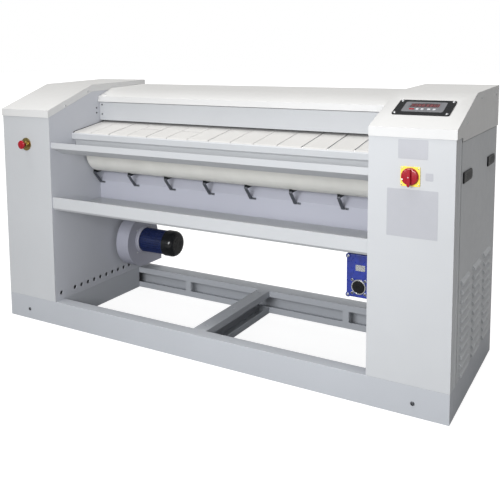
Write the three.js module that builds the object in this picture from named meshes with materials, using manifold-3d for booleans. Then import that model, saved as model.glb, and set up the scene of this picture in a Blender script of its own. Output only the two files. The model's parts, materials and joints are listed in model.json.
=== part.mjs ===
// Flatwork ironer: a padded roll turns against a heated chest between two columns, endless feed
// bands carry the linen in under a finger guard, and a tray under the roll takes it back.
// Millimetres. X runs along the roll to the operator's right, Y from the front to the back, and
// Z up. The origin is the middle of the outer box on the floor. Distances called "back" below are
// counted from the front panels, and the whole machine is shifted once, at the end.

import * as THREE from 'three';
import { mergeVertices } from 'three/addons/utils/BufferGeometryUtils.js';
import Module from 'manifold-3d';

const wasm = await Module();
wasm.setup();

// ---------------------------------------------------------------- driving dimensions

const WIDTH = 2130;
const DEPTH = 700;
const COLUMN_WIDTH = 300;

const SHEET = 2; // folded sheet of the covers
const SEAM = 0.3; // gap between two pieces that lie against each other
const RUNNING = 0.2; // radial clearance of a shaft in its hole
const FRAME_PLATE = 4; // the two plates that carry everything between the columns

const BASE_HEIGHT = 111;
const RAIL_SHEET = 4;
const RAIL_LIP = 30;
const FRONT_RAIL_DEPTH = 57;
const REAR_RAIL_DEPTH = 82;
const PAN_LIP = 25;
const CROSS_BEAM_WIDTH = 64;
const CROSS_BEAM_OFFSET = 10;
const CROSS_BEAM_HOLE = 11;
const CROSS_BEAM_HOLES = [106, 334, 576];
const STIFFENER_WIDTH = 30;
const STIFFENER_OFFSET = 440;

const LID_FRONT_RISE = 219; // from the axis of the roll up to a lid's front edge
const LID_RISE = 106; // from a lid's front edge up to its break
const LID_BACK_RISE = 12; // from the break up to the back edge
const LID_SLOPE_DEPTH = 290;
const LID_SKIRT = 33;
const LID_CLEARANCE = 1.5; // between a lid's skirt and the panel inside it

const FRONT_WRAP = 78; // how far the front panel turns round the outer corner
const BACK_WRAP = 20;
const WRAP_RETURN = 18;

const DOOR_GAP = 3;
const DOOR_SIDE_GAP = 7;
const DOOR_FLANGE = 12;
const DOOR_TOP_DROP = 50; // below a lid's front edge
const LOUVRE_COLUMNS = 3;
const LOUVRE_ROWS = 11;
const LOUVRE_LENGTH = 118;
const LOUVRE_FRONT_MARGIN = 34; // from the door's front edge to the first column
const LOUVRE_REAR_MARGIN = 64;
const LOUVRE_ROW_PITCH = 33.6;
const LOUVRE_RISE = 10.7; // from the door's bottom edge to the lowest row
const LOUVRE_OPENING = 8;
const LOUVRE_PROUD = 9;

const LATCH_LENGTH = 132;
const LATCH_HEIGHT = 38;
const LATCH_THICKNESS = 5;
const LATCH_FRONT_INSET = 17; // from the door's front edge
const LATCH_REAR_INSET = 31; // from the door's rear edge
const LATCH_DROP = 124; // below the top of its door
const POCKET_MARGIN = 8;
const POCKET_DEPTH = 16;

const VENT_HOLE = 20;
const VENT_COUNT = 12;
const VENT_BLANK = 1; // place in the row that has no hole
const VENT_PITCH = 45;
const VENT_FIRST_BACK = 41;
const VENT_ABOVE_BASE = 34;

const ROLL_RADIUS = 102;
const ROLL_BACK = 325;
const ROLL_HEIGHT = 793;
const ROLL_COVER = 8;
const ROLL_TUBE = 6;
const ROLL_END_GAP = 9;
const ROLL_END_DISC = 10;
const ROLL_END_HOLE = 14;
const JOURNAL_RADIUS = 20;
const JOURNAL_STUB = 34; // how far a journal reaches into its column
const BEARING_RADIUS = 45;
const BEARING_LENGTH = 26;
const BEARING_WINDOW = 32; // hole in the frame plate round a journal

const CHEST_GAP = 3;
const CHEST_THICKNESS = 18;
const CHEST_CLEAR_ANGLE = 6; // round the roll, from the guide plate's edge to the chest
const CHEST_HIGH_ANGLE = 50;
const ELEMENT_RADIUS = 6;
const ELEMENT_ANGLES = [-40, -15, 10, 35];
const ELEMENT_STRAP = 14;
const STRAP_STANDOFF = 1; // a strap hugs the elements and stays off the chest

const BAND_COUNT = 14;
const BAND_GAP = 6;
const BAND_END_GAP = 2; // from the outermost gap's middle to the frame plate
const BAND_THICKNESS = 2;
const BAND_LINK = 0.8; // thin strip that keeps the bands of the set together
const NOSE_ROLLER_RADIUS = 9;
const NOSE_ROLLER_INSET = 21; // behind the nose panel's face
const NOSE_ROLLER_DROP = 4; // from the top of the roll down to the nose roller's axis
const DRIVE_ROLLER_RADIUS = 12;
const DRIVE_ROLLER_BACK = 395;
const DRIVE_ROLLER_RISE = 30; // above the top of the roll
const ROLLER_SHAFT_RADIUS = 6;
const BED_THICKNESS = 1.5;
const BED_CLEARANCE = 12; // along the bands, between the bed and each roller

const GUARD_SETBACK = 13; // behind the hood's lip
const GUARD_RISE = 17; // from the axis of the band drive roller to the guard's lower edge
const GUARD_TOP_GAP = 3; // under the hood's lip
const GUARD_RETURN = 20;
const GUARD_HEM = 14;
const GUARD_PIVOT_INSET = 20;
const GUARD_PIVOT_DROP = 15; // below the guard's top
const GUARD_PIN_RADIUS = 4;
const GUARD_EAR = 3;

const HOOD_LIP_BACK = 330;
const HOOD_LIP_DROP = 85; // below the break of the lids
const HOOD_LIP_HEIGHT = 27;
const HOOD_LIP_RETURN = 15;
const HOOD_CREST_BACK = 430;
const HOOD_CREST_DROP = 21; // below the break of the lids
const HOOD_REAR_DROP = 23; // below the back edge of the lids
const HOOD_REAR_FLANGE = 48;
const HOOD_REAR_INSET = 6;

const BEAM_FRONT_BACK = 8;
const BEAM_REAR_BACK = 75;
const BEAM_RISE = 72; // above the axis of the roll
const BEAM_FACE = 27;
const BEAM_FALL = 20; // of its sloping top
const BEAM_WEB = 39;

const NOSE_FRONT_BACK = 142;
const NOSE_RISE = 6; // above the axis of the nose roller
const NOSE_FACE = 32;
const NOSE_HEM = 8;
const NOSE_CORNER = 4;
const APRON_INSET = 26; // behind the nose panel's face
const APRON_LENGTH = 59;

const TRAY_FRONT_BACK = 6;
const TRAY_LIP = 61;
const TRAY_HEM = 10;
const TRAY_CHAMFER = 11;
const TRAY_DROP = 244; // below the axis of the roll
const WALL_OFFSET = 6; // behind the axis of the roll
const WALL_RISE = 91; // above the tray's floor
const GUIDE_REACH = 40; // how far the guide plate leans back under the roll
const GUIDE_DROP = 104; // below the axis of the roll

const FINGER_COUNT = 8;
const FINGER_END = 9; // from the frame plate to the outermost finger's middle
const FINGER_WIDTH = 12;
const FINGER_THICKNESS = 5;
const FINGER_ROLL_GAP = 0.8;
const FINGER_FRONT_ANGLE = -116;
const FINGER_TIP_ANGLE = -75;
const FINGER_TAB_REACH = 18; // from a finger's side to the end of its screw tab
const FINGER_TAB_HEIGHT = 9;
const SHOE_DEPTH = 6.5;
const COMB_BAR_WIDTH = 14;
const COMB_BAR_THICKNESS = 5;

const BLOWER_BACK = 545;
const BLOWER_HEIGHT = 297;
const BLOWER_STANDOFF = 22;
const BLOWER_WIDTH = 76;
const BLOWER_WALL = 3;
const SCROLL_START_RADIUS = 115;
const SCROLL_END_RADIUS = 141;
const SCROLL_START_ANGLE = -55;
const OUTLET_BACK = 690;
const INLET_RADIUS = 56;
const SPIGOT_WALL = 4;
const IMPELLER_RADIUS = 82;
const IMPELLER_BLADES = 12;
const IMPELLER_CLEARANCE = 6;
const BLOWER_MOTOR_RADIUS = 62;
const BLOWER_MOTOR_LENGTH = 156;
const BLOWER_SHAFT_RADIUS = 8;
const COWL_RADIUS = 66;
const COWL_LENGTH = 64;
const COWL_DOME = 30; // length of its rounded end
const COWL_END_RADIUS = 40;

const GEARBOX_FRONT_BACK = 250;
const GEARBOX_DEPTH = 130;
const GEARBOX_DROP = 76; // under the tray
const GEARBOX_HEIGHT = 176;
const GEARBOX_WIDTH = 134;
const GEARBOX_STANDOFF = 43;
const WORM_FROM_BOTTOM = 45;
const WORM_FROM_LEFT = 53;
const OUTPUT_FROM_BOTTOM = 113;
const GEARBOX_COVER_RADIUS = 31;
const GEARBOX_COVER_PROUD = 6;
const OUTPUT_FLANGE_RADIUS = 60;
const OUTPUT_SHAFT_RADIUS = 12;
const DRIVE_MOTOR_RADIUS = 55;
const DRIVE_MOTOR_LENGTH = 210;

const CHAIN_PITCH = 9.525;
const ROLL_TEETH = 80;
const BAND_TEETH = 11;
const GEARBOX_TEETH = 17;
const SPROCKET_WIDTH = 6;
const SPROCKET_STANDOFF = 46; // from the inner face of the column to the chain's near side
const TOOTH_DEPTH = 3.2;
const CHAIN_INSIDE = 2.5; // inner face of the chain under the pitch line
const CHAIN_HEIGHT = 6;
const HUB_WALL = 8;

const STOP_DROP = 162; // below a lid's front edge
const STOP_COLLAR_RADIUS = 30;
const STOP_COLLAR_THICKNESS = 4;
const STOP_BEZEL_RADIUS = 15;
const STOP_BEZEL_LENGTH = 10;
const STOP_HEAD_RADIUS = 20;
const STOP_HEAD_LENGTH = 13;
const STOP_HEAD_GAP = 10; // room that the head has to travel in
const STOP_STEM_RADIUS = 8;
const BARREL_WALL = 2.5;
const BARREL_LENGTH = 24;

const SWITCH_DROP = 164; // below a lid's front edge
const SWITCH_PLATE = 67;
const SWITCH_PLATE_THICKNESS = 4;
const SWITCH_KNOB_RADIUS = 30;
const SWITCH_KNOB_LENGTH = 12;
const SWITCH_GRIP_LENGTH = 13;
const SWITCH_GRIP_WIDTH = 13;
const SWITCH_BODY = 60;
const SWITCH_BODY_DEPTH = 55;

const FASCIA_WIDTH = 204;
const FASCIA_LENGTH = 124;
const FASCIA_THICKNESS = 4;
const FASCIA_CORNER = 9;
const FASCIA_CENTRE_BACK = 151;
const FASCIA_CUTOUT_MARGIN = 18;
const DISPLAY_WIDTH = 112;
const DISPLAY_LENGTH = 40;
const DISPLAY_UP = 14;
const DISPLAY_THICKNESS = 2.5;
const KEY_WIDTH = 10;
const STOP_KEY_WIDTH = 18;
const KEY_HEIGHT = 10; // along the slope
const KEY_CORNER = 2.5;
const KEY_UP = -20;
const STOP_KEY_PLACE = -40; // places of the keys, from the middle of the fascia
const KEY_PLACES = [-20, -2, 21, 40];
const KEY_PROUD = 2;
const KEY_LENGTH = 12;

const GLAND_HEIGHT = 200;
const GLAND_RADIUS = 12;
const GLAND_BORE = 6;
const GLAND_NUT_RADIUS = 17;
const GLAND_NUT_LENGTH = 8;
const GLAND_REACH = 18;

// ---------------------------------------------------------------- values worked out from them

const HALF = WIDTH / 2;
const INNER = HALF - COLUMN_WIDTH;
const BETWEEN = INNER - SEAM; // half length of what stands between the two frame plates
const COLUMN_CENTRE = HALF - COLUMN_WIDTH / 2;
const BAND_PITCH = (2 * (INNER - BAND_END_GAP)) / BAND_COUNT;
const BAND_WIDTH = BAND_PITCH - BAND_GAP;
const FINGER_PITCH = (2 * (INNER - FINGER_END)) / (FINGER_COUNT - 1);
const LID_FRONT_HEIGHT = ROLL_HEIGHT + LID_FRONT_RISE;
const LID_BREAK_HEIGHT = LID_FRONT_HEIGHT + LID_RISE;
const LID_BACK_HEIGHT = LID_BREAK_HEIGHT + LID_BACK_RISE;
const DOOR_TOP_HEIGHT = LID_FRONT_HEIGHT - DOOR_TOP_DROP;
const LATCH_CENTRE_HEIGHT = DOOR_TOP_HEIGHT - LATCH_DROP;
const STOP_HEIGHT = LID_FRONT_HEIGHT - STOP_DROP;
const SWITCH_HEIGHT = LID_FRONT_HEIGHT - SWITCH_DROP;
const HOOD_LIP_BOTTOM = LID_BREAK_HEIGHT - HOOD_LIP_DROP;
const HOOD_LIP_TOP = HOOD_LIP_BOTTOM + HOOD_LIP_HEIGHT;
const HOOD_CREST_HEIGHT = LID_BREAK_HEIGHT - HOOD_CREST_DROP;
const HOOD_REAR_HEIGHT = LID_BACK_HEIGHT - HOOD_REAR_DROP;
const NOSE_ROLLER_BACK = NOSE_FRONT_BACK + NOSE_ROLLER_INSET;
const NOSE_ROLLER_HEIGHT = ROLL_HEIGHT + ROLL_RADIUS - NOSE_ROLLER_DROP;
const DRIVE_ROLLER_HEIGHT = ROLL_HEIGHT + ROLL_RADIUS + DRIVE_ROLLER_RISE;
const GUARD_BACK = HOOD_LIP_BACK + GUARD_SETBACK;
const GUARD_PIVOT_BACK = GUARD_BACK + GUARD_PIVOT_INSET;
const GUARD_BOTTOM = DRIVE_ROLLER_HEIGHT + GUARD_RISE;
const GUARD_TOP = HOOD_LIP_BOTTOM - GUARD_TOP_GAP;
const GUARD_PIVOT_HEIGHT = GUARD_TOP - GUARD_PIVOT_DROP;
const APRON_BACK = NOSE_FRONT_BACK + APRON_INSET;
const NOSE_TOP = NOSE_ROLLER_HEIGHT + NOSE_RISE;
const NOSE_BOTTOM = NOSE_TOP - NOSE_FACE;
const APRON_BOTTOM = NOSE_BOTTOM - APRON_LENGTH;
const BEAM_TOP = ROLL_HEIGHT + BEAM_RISE;
const BEAM_FACE_BOTTOM = BEAM_TOP - BEAM_FACE;
const BEAM_REAR_TOP = BEAM_TOP - BEAM_FALL;
const BEAM_REAR_BOTTOM = BEAM_REAR_TOP - BEAM_WEB;
const TRAY_FLOOR = ROLL_HEIGHT - TRAY_DROP;
const WALL_BACK = ROLL_BACK + WALL_OFFSET;
const GUIDE_TOP_BACK = WALL_BACK + GUIDE_REACH;
const TRAY_LIP_TOP = TRAY_FLOOR + TRAY_LIP;
const WALL_TOP = TRAY_FLOOR + WALL_RISE;
const GUIDE_TOP_HEIGHT = ROLL_HEIGHT - GUIDE_DROP;
const COMB_BACK = WALL_BACK + SHEET + SEAM;
const FINGER_FOOT_HEIGHT = WALL_TOP - SHEET - SEAM - (COMB_BAR_WIDTH + FINGER_THICKNESS) / 2;
const SHOE_BOTTOM = ROLL_HEIGHT - ROLL_RADIUS - FINGER_ROLL_GAP - SHOE_DEPTH;
const COLUMN_BOTTOM = BASE_HEIGHT + SEAM;
const LID_OVERHANG = SHEET + LID_CLEARANCE;
const LID_SLOPE = Math.atan2(LID_BREAK_HEIGHT - LID_FRONT_HEIGHT, LID_SLOPE_DEPTH + LID_OVERHANG);
const LID_DROP = SHEET / Math.cos(LID_SLOPE) + SEAM; // from the lid's top to what it rests on
const DOOR_FRONT = FRONT_WRAP + DOOR_SIDE_GAP;
const DOOR_REAR = DEPTH - BACK_WRAP - DOOR_GAP;
const DOOR_BOTTOM = COLUMN_BOTTOM;
const LATCH_CENTRES = [
  DOOR_FRONT + LATCH_FRONT_INSET + LATCH_LENGTH / 2,
  DOOR_REAR - LATCH_REAR_INSET - LATCH_LENGTH / 2,
];
const LOUVRE_FIRST_BACK = DOOR_FRONT + LOUVRE_FRONT_MARGIN + LOUVRE_LENGTH / 2;
const LOUVRE_LAST_BACK = DOOR_REAR - LOUVRE_REAR_MARGIN - LOUVRE_LENGTH / 2;
const LOUVRE_COLUMN_PITCH = (LOUVRE_LAST_BACK - LOUVRE_FIRST_BACK) / (LOUVRE_COLUMNS - 1);
const CHEST_INNER_RADIUS = ROLL_RADIUS + CHEST_GAP;
const CHEST_LOW_ANGLE = CHEST_CLEAR_ANGLE - (180 / Math.PI) * Math.atan2(
  GUIDE_DROP, GUIDE_TOP_BACK - ROLL_BACK);
const CHEST_OUTER_RADIUS = CHEST_INNER_RADIUS + CHEST_THICKNESS;
const ROLL_HALF = INNER - ROLL_END_GAP;
const FRAME_OUTSIDE = INNER + FRAME_PLATE + SEAM;
const BLOWER_NEAR = -(INNER - BLOWER_STANDOFF);
const BLOWER_FAR = BLOWER_NEAR + BLOWER_WIDTH;
const GEARBOX_FAR = INNER - GEARBOX_STANDOFF;
const GEARBOX_NEAR = GEARBOX_FAR - GEARBOX_WIDTH;
const GEARBOX_MIDDLE = GEARBOX_FRONT_BACK + GEARBOX_DEPTH / 2;
const GEARBOX_BOTTOM = TRAY_FLOOR - GEARBOX_DROP - GEARBOX_HEIGHT;
const OUTPUT_HEIGHT = GEARBOX_BOTTOM + OUTPUT_FROM_BOTTOM;
const WORM_HEIGHT = GEARBOX_BOTTOM + WORM_FROM_BOTTOM;
const SPROCKET_NEAR = INNER + SPROCKET_STANDOFF;
const STOP_FRONT = -(SEAM + STOP_COLLAR_THICKNESS + STOP_BEZEL_LENGTH + STOP_HEAD_GAP + STOP_HEAD_LENGTH);
const GLAND_END = DEPTH + GLAND_REACH;
const MACHINE_SHIFT = -(STOP_FRONT + GLAND_END) / 2; // puts the origin under the middle of the box

const rollAxis = [ROLL_BACK, ROLL_HEIGHT];
const noseAxis = [NOSE_ROLLER_BACK, NOSE_ROLLER_HEIGHT];
const bandDriveAxis = [DRIVE_ROLLER_BACK, DRIVE_ROLLER_HEIGHT];
const guardAxis = [GUARD_PIVOT_BACK, GUARD_PIVOT_HEIGHT];
const outputAxis = [GEARBOX_MIDDLE, OUTPUT_HEIGHT];
const blowerAxis = [BLOWER_BACK, BLOWER_HEIGHT];

/** Height of a lid's top surface at a distance back from the front panels. */
function lidTop(back) {
  if (back < LID_SLOPE_DEPTH) {
    const rise = (LID_BREAK_HEIGHT - LID_FRONT_HEIGHT) / (LID_SLOPE_DEPTH + LID_OVERHANG);
    return LID_FRONT_HEIGHT + (back + LID_OVERHANG) * rise;
  }
  const fall = (LID_BACK_HEIGHT - LID_BREAK_HEIGHT) / (DEPTH + LID_OVERHANG - LID_SLOPE_DEPTH);
  return LID_BREAK_HEIGHT + (back - LID_SLOPE_DEPTH) * fall;
}

// ---------------------------------------------------------------- outlines

const radians = THREE.MathUtils.degToRad;

/** Points of an arc about a centre, angles in degrees. */
function arc([u, v], radius, from, to, steps) {
  return Array.from({ length: steps + 1 }, (_, i) => {
    const angle = radians(from + ((to - from) * i) / steps);
    return [u + radius * Math.cos(angle), v + radius * Math.sin(angle)];
  });
}

/** Points of a whole circle. */
function circle(centre, radius, sides = 24) {
  return arc(centre, radius, 0, 360, sides).slice(0, -1);
}

/** A rectangle given by two opposite corners. */
function rectangle([u0, v0], [u1, v1]) {
  return [[u0, v0], [u1, v0], [u1, v1], [u0, v1]];
}

/** A rectangle with round corners, given by its centre and half sizes. */
function roundedRectangle([u, v], halfWidth, halfHeight, radius, steps = 3) {
  return [[1, -1], [1, 1], [-1, 1], [-1, -1]].flatMap(([right, up], i) => arc(
    [u + right * (halfWidth - radius), v + up * (halfHeight - radius)],
    radius, 90 * (i - 1), 90 * i, steps,
  ));
}

/** The path moved sideways, to the left of its own direction, with mitred corners. */
function parallel(path, distance, closed = false) {
  const count = path.length;
  const leftOf = (i) => {
    const [u0, v0] = path[(i + count) % count];
    const [u1, v1] = path[(i + 1) % count];
    const length = Math.hypot(u1 - u0, v1 - v0);
    return [-(v1 - v0) / length, (u1 - u0) / length];
  };
  return path.map(([u, v], i) => {
    const before = leftOf(closed || i > 0 ? i - 1 : 0);
    const after = leftOf(closed || i < count - 1 ? i : i - 1);
    const mitre = distance / (1 + before[0] * after[0] + before[1] * after[1]);
    return [u + (before[0] + after[0]) * mitre, v + (before[1] + after[1]) * mitre];
  });
}

/** Outline of a bent sheet: one face follows the path, the other lies to the left of it. */
function folded(path, thickness = SHEET) {
  return [...path, ...parallel(path, thickness).reverse()];
}

/** Convex outline round circles, as a belt lies on its rollers. */
function beltOutline(circles, extra, sides = 32) {
  const points = circles.flatMap(({ centre, radius }) => circle(centre, radius + extra, sides));
  points.sort((a, b) => a[0] - b[0] || a[1] - b[1]);
  const turn = (o, a, b) => (a[0] - o[0]) * (b[1] - o[1]) - (a[1] - o[1]) * (b[0] - o[0]);
  const chain = (list) => {
    const kept = [];
    for (const point of list) {
      while (kept.length > 1 && turn(kept.at(-2), kept.at(-1), point) <= 0) {
        kept.pop();
      }
      kept.push(point);
    }
    return kept.slice(0, -1);
  };
  return [...chain(points), ...chain(points.reverse())];
}

/** The straight upper run between two rollers: its ends, its direction and its upward normal. */
function upperRun(first, second) {
  const du = second.centre[0] - first.centre[0];
  const dv = second.centre[1] - first.centre[1];
  const lean = Math.asin((second.radius - first.radius) / Math.hypot(du, dv));
  const angle = Math.atan2(dv, du) + lean;
  const along = [Math.cos(angle), Math.sin(angle)];
  const normal = [-along[1], along[0]];
  const touch = ({ centre, radius }) => [centre[0] + normal[0] * radius, centre[1] + normal[1] * radius];
  return { start: touch(first), end: touch(second), along, normal };
}

// ---------------------------------------------------------------- solids

const axes = {
  x: new THREE.Matrix4().makeBasis(
    new THREE.Vector3(0, 1, 0), new THREE.Vector3(0, 0, 1), new THREE.Vector3(1, 0, 0)),
  y: new THREE.Matrix4().makeBasis(
    new THREE.Vector3(1, 0, 0), new THREE.Vector3(0, 0, 1), new THREE.Vector3(0, -1, 0)),
  z: new THREE.Matrix4(),
};

/** A closed three.js geometry as a solid that can be cut and joined. */
function solid(geometry) {
  const bare = geometry.clone();
  bare.deleteAttribute('normal');
  bare.deleteAttribute('uv');
  const merged = mergeVertices(bare, 1e-4);
  return new wasm.Manifold(new wasm.Mesh({
    numProp: 3,
    vertProperties: merged.attributes.position.array,
    triVerts: new Uint32Array(merged.index.array),
  }));
}

/** A prism along an axis. Outlines are (y, z) along x, (x, z) along y and (x, y) along z. */
function prism(axis, outline, from, to, holes = []) {
  const vectors = (points) => points.map(([u, v]) => new THREE.Vector2(u, v));
  const shape = new THREE.Shape(vectors(outline));
  shape.holes = holes.map((hole) => new THREE.Path(vectors(hole)));
  const low = Math.min(from, to);
  const high = Math.max(from, to);
  const geometry = new THREE.ExtrudeGeometry(shape, { depth: high - low, bevelEnabled: false });
  geometry.translate(0, 0, axis === 'y' ? -high : low);
  geometry.applyMatrix4(axes[axis]);
  return solid(geometry);
}

/** A round bar along an axis. */
function rod(axis, centre, radius, from, to, sides = 24) {
  return prism(axis, circle(centre, radius, sides), from, to);
}

/** A box between two opposite corners. */
function block([x0, y0, z0], [x1, y1, z1]) {
  return prism('z', rectangle([x0, y0], [x1, y1]), z0, z1);
}

/** Radius of a faceted hole in which a faceted shaft of the same number of sides can turn. */
function boreFor(radius, sides = 24) {
  return radius / Math.cos(Math.PI / sides) + RUNNING;
}

const joined = (solids) => solids.reduce((whole, next) => whole.add(next));
const cutBy = (whole, tools) => tools.reduce((left, tool) => left.subtract(tool), whole);

/** A solid as a plain three.js geometry. */
function geometryOf(body) {
  const { vertProperties, triVerts } = body.getMesh();
  const geometry = new THREE.BufferGeometry();
  geometry.setAttribute('position', new THREE.BufferAttribute(vertProperties, 3));
  geometry.setIndex(new THREE.BufferAttribute(triVerts, 1));
  geometry.computeVertexNormals();
  return geometry;
}

// ---------------------------------------------------------------- materials

const material = (color, roughness, metalness = 0) =>
  new THREE.MeshStandardMaterial({ color, roughness, metalness });

const paint = material(0xd6d9dc, 0.45);
const innerPaint = material(0xb4b7c4, 0.5);
const lidPaint = material(0xe9ebea, 0.42);
const steel = material(0xb9bbbd, 0.35, 0.9);
const darkSteel = material(0x3c3f44, 0.45, 0.7);
const castAluminium = material(0x8e919a, 0.55, 0.5);
const blackPlastic = material(0x17191b, 0.5);
const blueEnamel = material(0x1d2a6c, 0.4);
const motorBlue = material(0x18264a, 0.45);
const rollFelt = material(0xcfcfc6, 0.9);
const bandCloth = material(0xf4f1ec, 0.85);
const stopRed = material(0xa8161c, 0.35);
const safetyYellow = material(0xe7c53a, 0.4);
const greyPlastic = material(0x9a9ea2, 0.5);
const displayRed = material(0x4a0c10, 0.15);

const machine = new THREE.Group();
machine.name = 'flatwork_ironer';
machine.position.y = MACHINE_SHIFT;

/** Puts a solid into a group as a named mesh. */
function place(name, body, finish, parent = machine) {
  const mesh = new THREE.Mesh(geometryOf(body), finish);
  mesh.name = name;
  parent.add(mesh);
  return mesh;
}

/** A new group inside the machine. */
function subGroup(name) {
  const group = new THREE.Group();
  group.name = name;
  machine.add(group);
  return group;
}

// ---------------------------------------------------------------- base frame

/** Lipped channel: web at u = 0, open at u = depth. */
function lippedChannel(depth, height) {
  return folded([
    [depth, height - RAIL_LIP], [depth, height], [0, height],
    [0, 0], [depth, 0], [depth, RAIL_LIP],
  ], RAIL_SHEET);
}

function buildBase() {
  const base = subGroup('base_frame');
  const endCaps = (frontBack, rearBack) => [-1, 1].map((side) => block(
    [side * HALF, frontBack, 0], [side * (HALF - RAIL_SHEET), rearBack, BASE_HEIGHT]));
  const front = lippedChannel(FRONT_RAIL_DEPTH, BASE_HEIGHT);
  const frontCaps = endCaps(0, FRONT_RAIL_DEPTH);
  place('base_front_rail', joined([prism('x', front, -HALF, HALF), ...frontCaps]), paint, base);

  const rear = lippedChannel(REAR_RAIL_DEPTH, BASE_HEIGHT).map(([u, v]) => [DEPTH - u, v]);
  const lipPlane = DEPTH - REAR_RAIL_DEPTH;
  const stiffeners = [-1, 1].map((side) => block(
    [side * STIFFENER_OFFSET - STIFFENER_WIDTH / 2, lipPlane, RAIL_LIP - 1],
    [side * STIFFENER_OFFSET + STIFFENER_WIDTH / 2, lipPlane + RAIL_SHEET, BASE_HEIGHT - RAIL_LIP + 1],
  ));
  const rearCaps = endCaps(lipPlane, DEPTH);
  place('base_rear_rail', joined([prism('x', rear, -HALF, HALF), ...rearCaps, ...stiffeners]), paint, base);

  const from = FRONT_RAIL_DEPTH + SEAM;
  const to = DEPTH - REAR_RAIL_DEPTH - SEAM;
  const beamLeft = CROSS_BEAM_OFFSET - CROSS_BEAM_WIDTH / 2;
  const beam = lippedChannel(CROSS_BEAM_WIDTH, BASE_HEIGHT).map(([u, v]) => [beamLeft + u, v]);
  const flangeBelow = BASE_HEIGHT - RAIL_SHEET - 1;
  const holes = CROSS_BEAM_HOLES.map((back) =>
    rod('z', [CROSS_BEAM_OFFSET, back], CROSS_BEAM_HOLE / 2, flangeBelow, BASE_HEIGHT + 1, 12));
  place('base_cross_beam', cutBy(prism('y', beam, from, to), holes), paint, base);

  for (const [name, side] of [['left', -1], ['right', 1]]) {
    const pan = folded([
      [HALF - PAN_LIP, 0], [HALF, 0], [HALF, BASE_HEIGHT],
      [INNER, BASE_HEIGHT], [INNER, 0], [INNER + PAN_LIP, 0],
    ], RAIL_SHEET).map(([x, z]) => [side * x, z]);
    place(`${name}_base_pan`, prism('y', pan, from, to), paint, base);
  }
}

// ---------------------------------------------------------------- columns

/** Plate at a column's inner face, with every hole that it holds. */
function framePlate(side) {
  const front = SHEET + SEAM;
  const rear = DEPTH - SHEET - SEAM;
  const top = (back) => lidTop(back) - LID_SKIRT - SEAM;
  const outline = [
    [front, COLUMN_BOTTOM], [rear, COLUMN_BOTTOM], [rear, top(rear)],
    [LID_SLOPE_DEPTH, top(LID_SLOPE_DEPTH)], [front, top(front)],
  ];
  const vents = Array.from({ length: VENT_COUNT }, (_, i) =>
    circle([VENT_FIRST_BACK + i * VENT_PITCH, BASE_HEIGHT + VENT_ABOVE_BASE], VENT_HOLE / 2, 12));
  vents.splice(VENT_BLANK, 1);
  const holes = [
    ...vents,
    circle(rollAxis, BEARING_WINDOW),
    circle(noseAxis, boreFor(ROLLER_SHAFT_RADIUS, 16), 16),
    circle(bandDriveAxis, boreFor(ROLLER_SHAFT_RADIUS, 16), 16),
    circle(guardAxis, boreFor(GUARD_PIN_RADIUS, 12), 12),
  ];
  const ducts = side > 0
    ? [circle(outputAxis, OUTPUT_SHAFT_RADIUS + HUB_WALL)]
    : [circle(blowerAxis, INLET_RADIUS)];
  holes.push(...ducts);
  return prism('x', outline, side * INNER, side * (INNER + FRAME_PLATE), holes);
}

/** Corner taken out of a panel so that the lid's inner skirt can pass. */
function skirtNotch(side, back, lidHeight) {
  return block(
    [side * (INNER - 1), back - 2 * SHEET, lidHeight - LID_SKIRT - SEAM],
    [side * (INNER + SHEET + SEAM), back + 2 * SHEET, lidHeight],
  );
}

function frontPanel(side, cutouts) {
  const path = [
    [INNER, 0], [HALF, 0], [HALF, FRONT_WRAP], [HALF - WRAP_RETURN, FRONT_WRAP],
  ];
  const outline = folded(path).map(([x, y]) => [side * x, y]);
  const top = LID_FRONT_HEIGHT - LID_DROP;
  const notch = skirtNotch(side, 0, LID_FRONT_HEIGHT);
  return cutBy(prism('z', outline, COLUMN_BOTTOM, top), [notch, ...cutouts]);
}

function backPanel(side, cutouts) {
  const path = [[HALF, DEPTH - BACK_WRAP], [HALF, DEPTH], [INNER, DEPTH]];
  const outline = folded(path).map(([x, y]) => [side * x, y]);
  const top = lidTop(DEPTH - BACK_WRAP) - LID_DROP;
  const notch = skirtNotch(side, DEPTH, LID_BACK_HEIGHT);
  return cutBy(prism('z', outline, COLUMN_BOTTOM, top), [notch, ...cutouts]);
}

/** Lid: a folded top with a skirt on the inner side and a deep cheek on the outer side. */
function lid(side, cutouts) {
  const front = -LID_OVERHANG;
  const rear = DEPTH + LID_OVERHANG;
  const outside = HALF + LID_OVERHANG;
  const roof = [
    [front, LID_FRONT_HEIGHT - LID_SKIRT], [front, LID_FRONT_HEIGHT],
    [LID_SLOPE_DEPTH, LID_BREAK_HEIGHT],
    [rear, LID_BACK_HEIGHT], [rear, LID_BACK_HEIGHT - LID_SKIRT],
  ];
  const skirt = [...roof, [LID_SLOPE_DEPTH, LID_BREAK_HEIGHT - LID_SKIRT]];
  const cheek = [
    ...roof.slice(0, 4), [rear, DOOR_TOP_HEIGHT + DOOR_GAP],
    [FRONT_WRAP, DOOR_TOP_HEIGHT + DOOR_GAP], [FRONT_WRAP, LID_FRONT_HEIGHT - LID_SKIRT],
  ];
  const whole = joined([
    prism('x', folded(roof, -SHEET), side * INNER, side * outside),
    prism('x', skirt, side * INNER, side * (INNER + SHEET)),
    prism('x', cheek, side * (outside - SHEET), side * outside),
  ]);
  return cutBy(whole, cutouts);
}

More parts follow.
